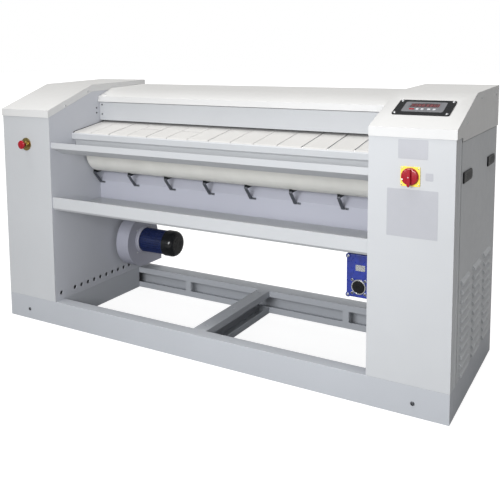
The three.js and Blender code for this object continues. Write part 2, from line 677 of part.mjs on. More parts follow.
/** One pressed louvre: a slot in the sheet under a hood that is open at the bottom. */
function louvre(side, back, bottom) {
  const skin = side * HALF;
  const from = back - LOUVRE_LENGTH / 2;
  const to = back + LOUVRE_LENGTH / 2;
  const behind = skin - side * (SHEET + 1);
  const proud = skin + side * LOUVRE_PROUD;
  const inside = skin + side * (LOUVRE_PROUD - SHEET);
  const shoulder = bottom + LOUVRE_OPENING;
  return {
    hood: prism('y', [
      [skin - side, bottom], [skin - side, shoulder + LOUVRE_PROUD + SHEET],
      [skin, shoulder + LOUVRE_PROUD + SHEET], [proud, shoulder], [proud, bottom],
    ], from, to),
    hollow: prism('y', [
      [behind, bottom - SHEET], [behind, shoulder], [inside, shoulder - SHEET],
      [inside, bottom - 1], [skin, bottom - 1],
    ], from + SHEET, to - SHEET),
  };
}

/** Lift-off side door: a shallow pan with louvres and two finger pockets. */
function sideDoor(side) {
  const skin = side * HALF;
  const pan = block(
    [skin, DOOR_FRONT, DOOR_BOTTOM], [skin - side * DOOR_FLANGE, DOOR_REAR, DOOR_TOP_HEIGHT]);
  const inside = block(
    [skin - side * SHEET, DOOR_FRONT + SHEET, DOOR_BOTTOM + SHEET],
    [skin - side * (DOOR_FLANGE + 1), DOOR_REAR - SHEET, DOOR_TOP_HEIGHT - SHEET],
  );
  const halfLength = LATCH_LENGTH / 2 - POCKET_MARGIN;
  const halfHeight = LATCH_HEIGHT / 2 - POCKET_MARGIN;
  const cup = (back, grow, from, to) => block(
    [skin - side * from, back - halfLength - grow, LATCH_CENTRE_HEIGHT - halfHeight - grow],
    [skin - side * to, back + halfLength + grow, LATCH_CENTRE_HEIGHT + halfHeight + grow],
  );
  const louvres = [];
  for (let column = 0; column < LOUVRE_COLUMNS; column += 1) {
    const back = LOUVRE_FIRST_BACK + column * LOUVRE_COLUMN_PITCH;
    for (let row = 0; row < LOUVRE_ROWS; row += 1) {
      louvres.push(louvre(side, back, DOOR_BOTTOM + LOUVRE_RISE + row * LOUVRE_ROW_PITCH));
    }
  }
  const cups = LATCH_CENTRES.map((back) => cup(back, SHEET, 0, POCKET_DEPTH));
  const pockets = LATCH_CENTRES.map((back) => cup(back, 0, -1, POCKET_DEPTH - SHEET));
  return cutBy(
    joined([pan.subtract(inside), ...cups, ...louvres.map(({ hood }) => hood)]),
    [...pockets, ...louvres.map(({ hollow }) => hollow)],
  );
}

/** Pull paddle of a door latch: hinged at its straight front end, rounded at the other. */
function latch(side, centreBack) {
  const low = side * (HALF + SEAM);
  const high = side * (HALF + SEAM + LATCH_THICKNESS);
  const pivotBack = centreBack - LATCH_LENGTH / 2 + LATCH_THICKNESS / 2;
  const round = LATCH_HEIGHT / 2;
  const outline = [
    [pivotBack, LATCH_CENTRE_HEIGHT - round],
    ...arc([centreBack + LATCH_LENGTH / 2 - round, LATCH_CENTRE_HEIGHT], round, -90, 90, 10),
    [pivotBack, LATCH_CENTRE_HEIGHT + round],
  ];
  const barrel = rod('z', [(low + high) / 2, pivotBack], LATCH_THICKNESS / 2,
    LATCH_CENTRE_HEIGHT - round, LATCH_CENTRE_HEIGHT + round, 16);
  return joined([prism('x', outline, low, high), barrel]);
}

function buildColumns(cutouts) {
  for (const [name, side] of [['left', -1], ['right', 1]]) {
    const column = subGroup(`${name}_column`);
    place(`${name}_frame_plate`, framePlate(side), innerPaint, column);
    place(`${name}_front_panel`, frontPanel(side, cutouts[name].front), paint, column);
    place(`${name}_back_panel`, backPanel(side, cutouts[name].back), paint, column);
    place(`${name}_lid`, lid(side, cutouts[name].lid), lidPaint, column);
    place(`${name}_side_door`, sideDoor(side), paint, column);
    place(`${name}_front_latch`, latch(side, LATCH_CENTRES[0]), blackPlastic, column);
    place(`${name}_rear_latch`, latch(side, LATCH_CENTRES[1]), blackPlastic, column);
  }
}

// ---------------------------------------------------------------- sheet work between the columns

const across = (outline, holes) => prism('x', outline, -BETWEEN, BETWEEN, holes);

function buildCovers() {
  const covers = subGroup('covers');
  const hoodRear = DEPTH - HOOD_REAR_INSET;
  const hood = folded([
    [HOOD_LIP_BACK + HOOD_LIP_RETURN, HOOD_LIP_BOTTOM], [HOOD_LIP_BACK, HOOD_LIP_BOTTOM],
    [HOOD_LIP_BACK + 4, HOOD_LIP_TOP], [HOOD_CREST_BACK, HOOD_CREST_HEIGHT],
    [hoodRear, HOOD_REAR_HEIGHT], [hoodRear, HOOD_REAR_HEIGHT - HOOD_REAR_FLANGE],
  ], -SHEET);
  place('hood', across(hood), lidPaint, covers);

  const coverRear = hoodRear - SHEET - SEAM;
  const rearCover = folded([
    [WALL_BACK + SHEET + SEAM, TRAY_FLOOR], [coverRear, TRAY_FLOOR],
    [coverRear, HOOD_REAR_HEIGHT - SHEET * 2],
  ]);
  place('rear_cover', across(rearCover), paint, covers);

  const beam = [
    [BEAM_FRONT_BACK, BEAM_TOP], [BEAM_FRONT_BACK, BEAM_FACE_BOTTOM],
    [BEAM_REAR_BACK, BEAM_REAR_BOTTOM], [BEAM_REAR_BACK, BEAM_REAR_TOP],
  ];
  place('front_beam', across(beam, [parallel(beam, SHEET, true)]), paint, covers);

  const nose = folded([
    [NOSE_FRONT_BACK + NOSE_HEM, NOSE_TOP], [NOSE_FRONT_BACK + NOSE_CORNER, NOSE_TOP],
    [NOSE_FRONT_BACK, NOSE_TOP - NOSE_CORNER], [NOSE_FRONT_BACK, NOSE_BOTTOM + NOSE_CORNER],
    [NOSE_FRONT_BACK + NOSE_CORNER, NOSE_BOTTOM], [APRON_BACK, NOSE_BOTTOM], [APRON_BACK, APRON_BOTTOM],
  ]);
  place('nose_panel', across(nose), paint, covers);

  const tray = folded([
    [TRAY_FRONT_BACK + TRAY_HEM, TRAY_LIP_TOP - TRAY_HEM], [TRAY_FRONT_BACK + TRAY_HEM, TRAY_LIP_TOP],
    [TRAY_FRONT_BACK, TRAY_LIP_TOP], [TRAY_FRONT_BACK, TRAY_FLOOR + TRAY_CHAMFER],
    [TRAY_FRONT_BACK + TRAY_CHAMFER, TRAY_FLOOR],
    [WALL_BACK - SEAM, TRAY_FLOOR],
  ]);
  place('tray', across(tray), paint, covers);
}

// ---------------------------------------------------------------- finger guard

function buildGuard() {
  const plate = folded([
    [GUARD_BACK + GUARD_HEM, GUARD_BOTTOM], [GUARD_BACK, GUARD_BOTTOM],
    [GUARD_BACK, GUARD_TOP], [GUARD_BACK + GUARD_RETURN, GUARD_TOP],
  ], -SHEET);
  const earFront = GUARD_BACK + SHEET / 2;
  const earRear = GUARD_PIVOT_BACK + 2 * GUARD_PIN_RADIUS;
  const earTop = GUARD_TOP - SHEET / 2;
  const ear = [
    [earFront, GUARD_PIVOT_HEIGHT - GUARD_RETURN], [earFront, earTop],
    [earRear, earTop], [earRear, GUARD_PIVOT_HEIGHT - 2 * GUARD_PIN_RADIUS],
  ];
  const end = BETWEEN - SEAM;
  const ends = [-1, 1].flatMap((side) => [
    prism('x', ear, side * end, side * (end - GUARD_EAR)),
    rod('x', guardAxis, GUARD_PIN_RADIUS, side * (end - GUARD_EAR), side * (INNER + FRAME_PLATE), 12),
  ]);
  place('finger_guard', joined([prism('x', plate, -end, end), ...ends]), paint);
}

// ---------------------------------------------------------------- feed bands

const noseRoller = { centre: noseAxis, radius: NOSE_ROLLER_RADIUS };
const bandDriveRoller = { centre: bandDriveAxis, radius: DRIVE_ROLLER_RADIUS };

function buildFeed() {
  const feed = subGroup('feed');
  const rollers = [noseRoller, bandDriveRoller];
  const rollerHalf = BETWEEN - 2;
  const plateOutside = INNER + FRAME_PLATE;
  const roller = ({ centre, radius }, rightEnd) => joined([
    rod('x', centre, radius, -rollerHalf, rollerHalf, 16),
    rod('x', centre, ROLLER_SHAFT_RADIUS, -plateOutside, rightEnd, 16),
  ]);
  place('nose_roller', roller(noseRoller, plateOutside), steel, feed);
  place('band_drive_roller', roller(bandDriveRoller, SPROCKET_NEAR + SPROCKET_WIDTH), steel, feed);

  const inside = beltOutline(rollers, SEAM, 16);
  const outside = beltOutline(rollers, SEAM + BAND_THICKNESS, 12);
  const first = (-(BAND_COUNT - 1) * BAND_PITCH) / 2;
  const bands = Array.from({ length: BAND_COUNT }, (_, i) => {
    const middle = first + i * BAND_PITCH;
    return prism('x', outside, middle - BAND_WIDTH / 2, middle + BAND_WIDTH / 2, [inside]);
  });
  const run = upperRun(noseRoller, bandDriveRoller);
  const middle = [(run.start[0] + run.end[0]) / 2, (run.start[1] + run.end[1]) / 2];
  const onRun = (along, up) => [
    middle[0] + run.along[0] * along + run.normal[0] * up,
    middle[1] + run.along[1] * along + run.normal[1] * up,
  ];
  const linkLow = SEAM + BAND_LINK / 2;
  const linkHigh = linkLow + BAND_LINK;
  const linkOutline = [onRun(-5, linkLow), onRun(5, linkLow), onRun(5, linkHigh), onRun(-5, linkHigh)];
  const link = prism('x', linkOutline, first, -first);
  place('feed_bands', joined([...bands, link]), bandCloth, feed);

  const halfRun = Math.hypot(run.end[0] - run.start[0], run.end[1] - run.start[1]) / 2;
  const bedHalf = halfRun - BED_CLEARANCE;
  const bed = [
    onRun(-bedHalf, 0), onRun(bedHalf, 0), onRun(bedHalf, -BED_THICKNESS), onRun(-bedHalf, -BED_THICKNESS),
  ];
  place('feed_bed', across(bed), steel, feed);
}

// ---------------------------------------------------------------- roll, chest and stripper

function buildRoll() {
  const roll = subGroup('roll');
  const coreRadius = ROLL_RADIUS - ROLL_COVER - SEAM;
  const tubeInside = coreRadius - ROLL_TUBE;
  const discHoles = circle(rollAxis, (tubeInside + JOURNAL_RADIUS) / 2, 4)
    .map((centre) => circle(centre, ROLL_END_HOLE, 12));
  const disc = (side) => prism('x', circle(rollAxis, tubeInside + 1, 32),
    side * ROLL_HALF, side * (ROLL_HALF - ROLL_END_DISC), discHoles);
  const journalEnds = [-(FRAME_OUTSIDE + JOURNAL_STUB), SPROCKET_NEAR + SPROCKET_WIDTH + HUB_WALL];
  const core = joined([
    prism('x', circle(rollAxis, coreRadius, 32), -ROLL_HALF, ROLL_HALF, [circle(rollAxis, tubeInside, 32)]),
    disc(-1), disc(1),
    rod('x', rollAxis, JOURNAL_RADIUS, journalEnds[0], -ROLL_HALF + ROLL_END_DISC / 2),
    rod('x', rollAxis, JOURNAL_RADIUS, ROLL_HALF - ROLL_END_DISC / 2, journalEnds[1]),
  ]);
  place('roll_core', core, steel, roll);
  const cover = prism('x', circle(rollAxis, ROLL_RADIUS, 48), -ROLL_HALF, ROLL_HALF,
    [circle(rollAxis, coreRadius + SEAM, 48)]);
  place('roll_cover', cover, rollFelt, roll);

  for (const [name, side] of [['left', -1], ['right', 1]]) {
    const bearing = prism('x', circle(rollAxis, BEARING_RADIUS), side * FRAME_OUTSIDE,
      side * (FRAME_OUTSIDE + BEARING_LENGTH), [circle(rollAxis, boreFor(JOURNAL_RADIUS))]);
    place(`${name}_roll_bearing`, bearing, darkSteel);
  }
}

function buildChest() {
  const sector = (inner, outer, from, to, steps) => [
    ...arc(rollAxis, inner, from, to, steps), ...arc(rollAxis, outer, to, from, steps),
  ];
  const chest = sector(CHEST_INNER_RADIUS, CHEST_OUTER_RADIUS, CHEST_LOW_ANGLE, CHEST_HIGH_ANGLE, 14);
  place('heated_chest', across(chest), castAluminium);

  const seat = CHEST_OUTER_RADIUS + SEAM;
  const elements = ELEMENT_ANGLES.map((angle) => {
    const [centre] = arc(rollAxis, seat + ELEMENT_RADIUS, angle, angle, 1);
    return rod('x', centre, ELEMENT_RADIUS, -ROLL_HALF, ROLL_HALF, 10);
  });
  const margin = 5;
  const strap = sector(seat + STRAP_STANDOFF, seat + ELEMENT_STRAP,
    ELEMENT_ANGLES[0] - margin, ELEMENT_ANGLES.at(-1) + margin, 8);
  const straps = [-1, 0, 1].map((station) => {
    const middle = station * (ROLL_HALF - ELEMENT_STRAP);
    return prism('x', strap, middle - ELEMENT_STRAP / 2, middle + ELEMENT_STRAP / 2);
  });
  place('heating_elements', joined([...elements, ...straps]), darkSteel);
}

/** Side view of one stripper finger: foot through the wall, strap, and a thin shoe under the roll. */
function fingerOutline() {
  const shoeTop = arc(rollAxis, ROLL_RADIUS + FINGER_ROLL_GAP, FINGER_TIP_ANGLE, FINGER_FRONT_ANGLE, 5);
  const [tipBack, tipHeight] = shoeTop[0];
  const [frontBack] = shoeTop.at(-1);
  const footTop = FINGER_FOOT_HEIGHT + FINGER_THICKNESS;
  return [
    ...shoeTop, [frontBack, SHOE_BOTTOM],
    [WALL_BACK - FINGER_THICKNESS, FINGER_FOOT_HEIGHT],
    [COMB_BACK + 1, FINGER_FOOT_HEIGHT], [COMB_BACK + 1, footTop],
    [WALL_BACK - 1, footTop], [frontBack + FINGER_THICKNESS + 1, SHOE_BOTTOM],
    [tipBack - FINGER_THICKNESS, SHOE_BOTTOM + FINGER_THICKNESS], [tipBack, tipHeight - 2],
  ];
}

function buildStripper() {
  const stripper = subGroup('stripper');
  const first = (-(FINGER_COUNT - 1) * FINGER_PITCH) / 2;
  const places = Array.from({ length: FINGER_COUNT }, (_, i) => first + i * FINGER_PITCH);
  const outline = fingerOutline();
  const fingers = places.map((x) => prism('x', outline, x - FINGER_WIDTH / 2, x + FINGER_WIDTH / 2));
  const tabEnd = (x) => Math.min(x + FINGER_WIDTH / 2 + FINGER_TAB_REACH, BETWEEN);
  const tabTop = FINGER_FOOT_HEIGHT + FINGER_TAB_HEIGHT;
  const tabs = places.map((x) => block(
    [x, WALL_BACK - FINGER_THICKNESS, FINGER_FOOT_HEIGHT], [tabEnd(x), WALL_BACK - SEAM, tabTop]));
  const barMiddle = FINGER_FOOT_HEIGHT + FINGER_THICKNESS / 2;
  const bar = block([-BETWEEN, COMB_BACK, barMiddle - COMB_BAR_WIDTH / 2],
    [BETWEEN, COMB_BACK + COMB_BAR_THICKNESS, barMiddle + COMB_BAR_WIDTH / 2]);
  place('stripper_comb', joined([bar, ...fingers, ...tabs]), darkSteel, stripper);

  const wall = folded([
    [WALL_BACK, TRAY_FLOOR], [WALL_BACK, WALL_TOP], [GUIDE_TOP_BACK, GUIDE_TOP_HEIGHT],
  ], -SHEET);
  const slots = places.map((x) => block(
    [x - FINGER_WIDTH / 2 - SEAM, WALL_BACK - 1, FINGER_FOOT_HEIGHT - SEAM],
    [x + FINGER_WIDTH / 2 + SEAM, WALL_BACK + SHEET + 1, FINGER_FOOT_HEIGHT + FINGER_THICKNESS + SEAM],
  ));
  place('guide_plate', cutBy(across(wall), slots), innerPaint, stripper);
}

// ---------------------------------------------------------------- roll drive

const chainPitchRadius = (teeth) => CHAIN_PITCH / (2 * Math.sin(Math.PI / teeth));

/** Toothed wheel whose tips stay inside the chain. */
function sprocket(centre, teeth, shaftRadius, holes = []) {
  const tip = chainPitchRadius(teeth) - CHAIN_INSIDE - SEAM;
  const outline = Array.from({ length: teeth * 2 }, (_, i) => {
    const angle = (i * Math.PI) / teeth;
    const radius = tip - (i % 2) * TOOTH_DEPTH;
    return [centre[0] + radius * Math.cos(angle), centre[1] + radius * Math.sin(angle)];
  });
  const bore = circle(centre, shaftRadius + SEAM);
  return prism('x', outline, SPROCKET_NEAR, SPROCKET_NEAR + SPROCKET_WIDTH, [bore, ...holes]);
}

function buildDrive() {
  const drive = subGroup('roll_drive');
  const left = GEARBOX_NEAR;
  const right = GEARBOX_FAR;
  const wormAxis = [left + WORM_FROM_LEFT, WORM_HEIGHT];
  const rear = GEARBOX_FRONT_BACK + GEARBOX_DEPTH;
  const coverFront = GEARBOX_FRONT_BACK - GEARBOX_COVER_PROUD;
  const housing = joined([
    block([left, GEARBOX_FRONT_BACK, GEARBOX_BOTTOM], [right, rear, GEARBOX_BOTTOM + GEARBOX_HEIGHT]),
    rod('x', outputAxis, OUTPUT_FLANGE_RADIUS, right - 1, BETWEEN),
    rod('y', wormAxis, GEARBOX_COVER_RADIUS, coverFront, GEARBOX_FRONT_BACK + 1),
  ]);
  const shaftStart = right - 30;
  const bore = rod('x', outputAxis, boreFor(OUTPUT_SHAFT_RADIUS), shaftStart - 1, INNER);
  place('worm_gearbox', housing.subtract(bore), blueEnamel, drive);
  const motor = rod('y', wormAxis, DRIVE_MOTOR_RADIUS, rear + SEAM, rear + SEAM + DRIVE_MOTOR_LENGTH);
  place('drive_motor', motor, motorBlue, drive);

  const shaft = rod('x', outputAxis, OUTPUT_SHAFT_RADIUS, shaftStart, SPROCKET_NEAR + SPROCKET_WIDTH + 2);
  const shaftWheel = joined([shaft, sprocket(outputAxis, GEARBOX_TEETH, OUTPUT_SHAFT_RADIUS - 1)]);
  place('gearbox_sprocket', shaftWheel, darkSteel, drive);
  const spokes = circle(rollAxis, chainPitchRadius(ROLL_TEETH) * 0.6, 5)
    .map((centre) => circle(centre, ROLL_END_HOLE * 1.6, 10));
  place('roll_sprocket', sprocket(rollAxis, ROLL_TEETH, JOURNAL_RADIUS, spokes), darkSteel, drive);
  place('band_sprocket', sprocket(bandDriveAxis, BAND_TEETH, ROLLER_SHAFT_RADIUS), darkSteel, drive);

  const wheels = [[outputAxis, GEARBOX_TEETH], [rollAxis, ROLL_TEETH], [bandDriveAxis, BAND_TEETH]]
    .map(([centre, teeth]) => ({ centre, radius: chainPitchRadius(teeth) }));
  const inside = beltOutline(wheels, -CHAIN_INSIDE, 48);
  const outside = beltOutline(wheels, CHAIN_HEIGHT - CHAIN_INSIDE, 48);
  place('drive_chain',
    prism('x', outside, SPROCKET_NEAR, SPROCKET_NEAR + SPROCKET_WIDTH, [inside]), darkSteel, drive);
}

// ---------------------------------------------------------------- exhaust blower

/** Spiral of the blower casing, opening into a straight outlet at the bottom rear. */
function scrollOutline(mouth) {
  const steps = 26;
  const sweep = 270 - SCROLL_START_ANGLE;
  const spiral = Array.from({ length: steps + 1 }, (_, i) => {
    const angle = radians(SCROLL_START_ANGLE + (sweep * i) / steps);
    const radius = SCROLL_START_RADIUS + ((SCROLL_END_RADIUS - SCROLL_START_RADIUS) * i) / steps;
    return [BLOWER_BACK + radius * Math.cos(angle), BLOWER_HEIGHT + radius * Math.sin(angle)];
  });
  return [...spiral, [mouth, spiral.at(-1)[1]], [mouth, spiral[0][1]]];
}

function buildBlower() {
  const blower = subGroup('exhaust_blower');
  const plate = -BETWEEN;
  const inside = parallel(scrollOutline(OUTLET_BACK + 2 * BLOWER_WALL), BLOWER_WALL, true);
  const casing = cutBy(joined([
    prism('x', scrollOutline(OUTLET_BACK), BLOWER_NEAR, BLOWER_FAR),
    rod('x', blowerAxis, INLET_RADIUS + SPIGOT_WALL, plate, BLOWER_NEAR + 1),
  ]), [
    prism('x', inside, BLOWER_NEAR + BLOWER_WALL, BLOWER_FAR - BLOWER_WALL),
    rod('x', blowerAxis, INLET_RADIUS, plate - 1, BLOWER_NEAR + BLOWER_WALL + 1),
    rod('x', blowerAxis, boreFor(BLOWER_SHAFT_RADIUS), BLOWER_FAR - BLOWER_WALL - 1, BLOWER_FAR + 1),
  ]);
  place('blower_casing', casing, castAluminium, blower);

  const near = BLOWER_NEAR + BLOWER_WALL + IMPELLER_CLEARANCE;
  const far = BLOWER_FAR - BLOWER_WALL - IMPELLER_CLEARANCE;
  const bladeInner = INLET_RADIUS + 2;
  const blades = Array.from({ length: IMPELLER_BLADES }, (_, i) => {
    const angle = (360 * i) / IMPELLER_BLADES;
    const lean = 14;
    const width = 2.2;
    const [[u0, v0]] = arc(blowerAxis, bladeInner, angle, angle, 1);
    const [[u1, v1]] = arc(blowerAxis, IMPELLER_RADIUS - 1, angle + lean, angle + lean, 1);
    return prism('x', folded([[u0, v0], [u1, v1]], width), near + 1, far - 1);
  });
  const wheel = joined([
    prism('x', circle(blowerAxis, IMPELLER_RADIUS), far - 2, far),
    prism('x', circle(blowerAxis, IMPELLER_RADIUS), near, near + 2, [circle(blowerAxis, bladeInner)]),
    ...blades,
    rod('x', blowerAxis, BLOWER_SHAFT_RADIUS * 2, far - 20, far - 1),
    rod('x', blowerAxis, BLOWER_SHAFT_RADIUS, far - 2, BLOWER_FAR),
  ]);
  place('blower_impeller', wheel, steel, blower);

  const motorStart = BLOWER_FAR + SEAM;
  const motorEnd = motorStart + BLOWER_MOTOR_LENGTH;
  const cowlStart = motorEnd + SEAM;
  const motor = rod('x', blowerAxis, BLOWER_MOTOR_RADIUS, motorStart, motorEnd, 32);
  const dome = arc([0, 0], 1, 0, 90, 4).map(([across, along]) => [
    COWL_END_RADIUS + (COWL_RADIUS - COWL_END_RADIUS) * across,
    COWL_LENGTH - COWL_DOME * (1 - along),
  ]);
  const cowl = new THREE.LatheGeometry([[0, 0], [COWL_RADIUS, 0], ...dome, [0, COWL_LENGTH]]
    .map(([r, h]) => new THREE.Vector2(r, h)), 32);
  cowl.rotateZ(-Math.PI / 2);
  cowl.translate(cowlStart, BLOWER_BACK, BLOWER_HEIGHT);
  place('blower_motor', motor, motorBlue, blower);
  place('blower_cowl', solid(cowl), blackPlastic, blower);
}

// ---------------------------------------------------------------- controls

/** Ring of stop button: collar and bezel in front of the panel, barrel behind it. */
function buildStopButton() {
  const group = subGroup('stop_button_set');
  const centre = [-COLUMN_CENTRE, STOP_HEIGHT];
  const collarFront = -SEAM - STOP_COLLAR_THICKNESS;
  const bezelFront = collarFront - STOP_BEZEL_LENGTH;
  const bore = STOP_STEM_RADIUS + RUNNING;
  const barrel = bore + BARREL_WALL;
  const collar = joined([
    rod('y', centre, STOP_COLLAR_RADIUS, collarFront, -SEAM, 32),
    rod('y', centre, STOP_BEZEL_RADIUS, bezelFront, collarFront + 1),
    rod('y', centre, barrel, -1, BARREL_LENGTH),
  ]).subtract(rod('y', centre, bore, bezelFront - 1, BARREL_LENGTH + 1));
  place('stop_button_collar', collar, safetyYellow, group);

  const headRear = bezelFront - STOP_HEAD_GAP;
  const head = new THREE.LatheGeometry([
    [0, 0], [STOP_STEM_RADIUS + 4, 0], [STOP_HEAD_RADIUS, STOP_HEAD_LENGTH * 0.35],
    [STOP_HEAD_RADIUS, STOP_HEAD_LENGTH * 0.6], [STOP_HEAD_RADIUS * 0.75, STOP_HEAD_LENGTH * 0.9],
    [0, STOP_HEAD_LENGTH],
  ].map(([r, h]) => new THREE.Vector2(r, h)), 24);
  head.rotateX(Math.PI);
  head.translate(centre[0], headRear, centre[1]);
  const stem = rod('y', centre, STOP_STEM_RADIUS, headRear - 1, BARREL_LENGTH - STOP_STEM_RADIUS);
  place('stop_button', joined([solid(head), stem]), stopRed, group);
  return rod('y', centre, barrel + SEAM, -1, SHEET + 1);
}

function buildMainSwitch() {
  const group = subGroup('main_switch');
  const x = COLUMN_CENTRE;
  const centre = [x, SWITCH_HEIGHT];
  const plateFront = -SEAM - SWITCH_PLATE_THICKNESS;
  const bore = boreFor(STOP_STEM_RADIUS);
  const barrel = bore + BARREL_WALL;
  const half = SWITCH_PLATE / 2;
  const plate = joined([
    block([x - half, plateFront, SWITCH_HEIGHT - half], [x + half, -SEAM, SWITCH_HEIGHT + half]),
    rod('y', centre, barrel, -1, SHEET),
  ]).subtract(rod('y', centre, bore, plateFront - 1, SHEET + 1));
  place('switch_plate', plate, safetyYellow, group);

  const knobRear = plateFront - SEAM;
  const knobFront = knobRear - SWITCH_KNOB_LENGTH;
  const grip = SWITCH_GRIP_WIDTH / 2;
  const gripEnd = SWITCH_KNOB_RADIUS - 4;
  const gripOutline = [
    [-grip, gripEnd], [-grip, -gripEnd], [0, -SWITCH_KNOB_RADIUS - 5], [grip, -gripEnd], [grip, gripEnd],
  ].map(([u, v]) => [x + u, SWITCH_HEIGHT + v]);
  const knob = joined([
    rod('y', centre, SWITCH_KNOB_RADIUS, knobFront, knobRear, 32),
    prism('y', gripOutline, knobFront - SWITCH_GRIP_LENGTH, knobRear),
    rod('y', centre, STOP_STEM_RADIUS, knobRear - 1, SHEET),
  ]);
  place('switch_knob', knob, stopRed, group);

  const bodyHalf = SWITCH_BODY / 2;
  const bodyFront = SHEET + SEAM;
  place('switch_body', block([x - bodyHalf, bodyFront, SWITCH_HEIGHT - bodyHalf],
    [x + bodyHalf, bodyFront + SWITCH_BODY_DEPTH, SWITCH_HEIGHT + bodyHalf]), blackPlastic, group);
  return rod('y', centre, barrel + SEAM, -1, SHEET + 1);
}

/** Control fascia on the right lid, built flat and then laid on the slope. */
function buildFascia() {
  const group = subGroup('control_fascia_set');
  group.position.set(COLUMN_CENTRE, FASCIA_CENTRE_BACK, lidTop(FASCIA_CENTRE_BACK));
  group.rotation.x = LID_SLOPE;
  const halfWidth = FASCIA_WIDTH / 2;
  const halfLength = FASCIA_LENGTH / 2;
  const rear = SEAM;
  const front = SEAM + FASCIA_THICKNESS;
  const keys = [
    { name: 'stop_key', place: STOP_KEY_PLACE, width: STOP_KEY_WIDTH, finish: stopRed },
    ...['menu_key', 'slower_key', 'faster_key', 'start_key'].map((name, i) =>
      ({ name, place: KEY_PLACES[i], width: KEY_WIDTH, finish: greyPlastic })),
  ];
  const keyOutline = (key, gap) => roundedRectangle(
    [key.place, KEY_UP], key.width / 2 + gap, KEY_HEIGHT / 2 + gap, KEY_CORNER + gap);
  const displayOutline = (gap) => {
    const u = DISPLAY_WIDTH / 2 - gap;
    const v = DISPLAY_LENGTH / 2 - gap;
    return rectangle([-u, DISPLAY_UP - v], [u, DISPLAY_UP + v]);
  };
  const keyHoles = keys.map((key) => keyOutline(key, SEAM));
  const plate = roundedRectangle([0, 0], halfWidth, halfLength, FASCIA_CORNER);
  place('control_fascia', prism('z', plate, rear, front, [displayOutline(0), ...keyHoles]), blackPlastic, group);
  const glass = prism('z', displayOutline(SEAM), front - 1 - DISPLAY_THICKNESS, front - 1);
  place('display_window', glass, displayRed, group);
  const keyTop = front + KEY_PROUD;
  for (const key of keys) {
    place(key.name, prism('z', keyOutline(key, 0), keyTop - KEY_LENGTH, keyTop), key.finish, group);
  }
  group.updateMatrix();
  const margin = FASCIA_CUTOUT_MARGIN;
  const cutout = new THREE.BoxGeometry(FASCIA_WIDTH - 2 * margin, FASCIA_LENGTH - 2 * margin, 8 * SHEET);
  return solid(cutout.applyMatrix4(group.matrix));
}

/** Cable gland in the back of the right column. */
function buildGland() {
  const centre = [COLUMN_CENTRE, GLAND_HEIGHT];
  const gland = joined([
    rod('y', centre, GLAND_RADIUS, DEPTH - GLAND_REACH, GLAND_END),
    rod('y', centre, GLAND_NUT_RADIUS, DEPTH + SEAM, DEPTH + SEAM + GLAND_NUT_LENGTH, 6),
    rod('y', centre, GLAND_NUT_RADIUS, DEPTH - SHEET - SEAM - GLAND_NUT_LENGTH, DEPTH - SHEET - SEAM, 6),
  ]).subtract(rod('y', centre, GLAND_BORE, DEPTH - GLAND_REACH - 1, GLAND_END + 1, 16));
  place('cable_gland', gland, blackPlastic);
  return rod('y', centre, GLAND_RADIUS + SEAM, DEPTH - SHEET - 1, DEPTH + 1);
}

// ---------------------------------------------------------------- the whole machine

buildBase();
const stopHole = buildStopButton();
const switchHole = buildMainSwitch();
const fasciaHole = buildFascia();
const glandHole = buildGland();
buildColumns({
  left: { front: [stopHole], back: [], lid: [] },
  right: { front: [switchHole], back: [glandHole], lid: [fasciaHole] },
});
buildCovers();
buildGuard();
buildFeed();
buildRoll();
buildChest();
buildStripper();
buildDrive();
buildBlower();

export default machine;
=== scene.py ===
"""Looks of a flatwork ironer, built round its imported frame.

Sizes are in millimetres. A place on the machine is given as (x, back, height): x along the roll
from the middle, back from the front panels, and height above the floor. Meshes are made in metres,
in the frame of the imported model.
"""

import json
import logging
import math
from abc import ABC, abstractmethod
from collections.abc import Sequence
from dataclasses import dataclass, field
from enum import Enum
from itertools import product
from typing import ClassVar

import bmesh
import bpy
from mathutils import Matrix, Vector

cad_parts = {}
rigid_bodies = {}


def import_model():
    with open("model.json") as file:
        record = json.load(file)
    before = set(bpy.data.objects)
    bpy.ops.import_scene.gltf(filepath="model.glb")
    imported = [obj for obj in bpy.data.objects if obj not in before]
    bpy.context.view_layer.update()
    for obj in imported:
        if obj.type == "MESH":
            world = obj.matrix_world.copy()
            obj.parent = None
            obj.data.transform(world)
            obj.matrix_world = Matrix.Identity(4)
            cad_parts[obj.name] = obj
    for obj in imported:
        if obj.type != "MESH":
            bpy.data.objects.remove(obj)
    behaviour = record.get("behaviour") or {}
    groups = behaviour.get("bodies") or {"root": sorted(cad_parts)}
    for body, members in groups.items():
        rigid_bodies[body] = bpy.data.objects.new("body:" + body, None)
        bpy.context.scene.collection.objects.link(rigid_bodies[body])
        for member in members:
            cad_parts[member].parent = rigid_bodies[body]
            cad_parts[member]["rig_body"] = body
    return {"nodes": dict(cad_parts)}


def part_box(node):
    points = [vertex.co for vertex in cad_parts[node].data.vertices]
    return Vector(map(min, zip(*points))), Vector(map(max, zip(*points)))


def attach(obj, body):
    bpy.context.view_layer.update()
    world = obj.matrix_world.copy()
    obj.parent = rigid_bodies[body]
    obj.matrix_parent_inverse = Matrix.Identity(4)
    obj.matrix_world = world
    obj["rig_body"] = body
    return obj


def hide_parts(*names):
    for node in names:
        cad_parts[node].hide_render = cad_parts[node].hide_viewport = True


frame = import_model()

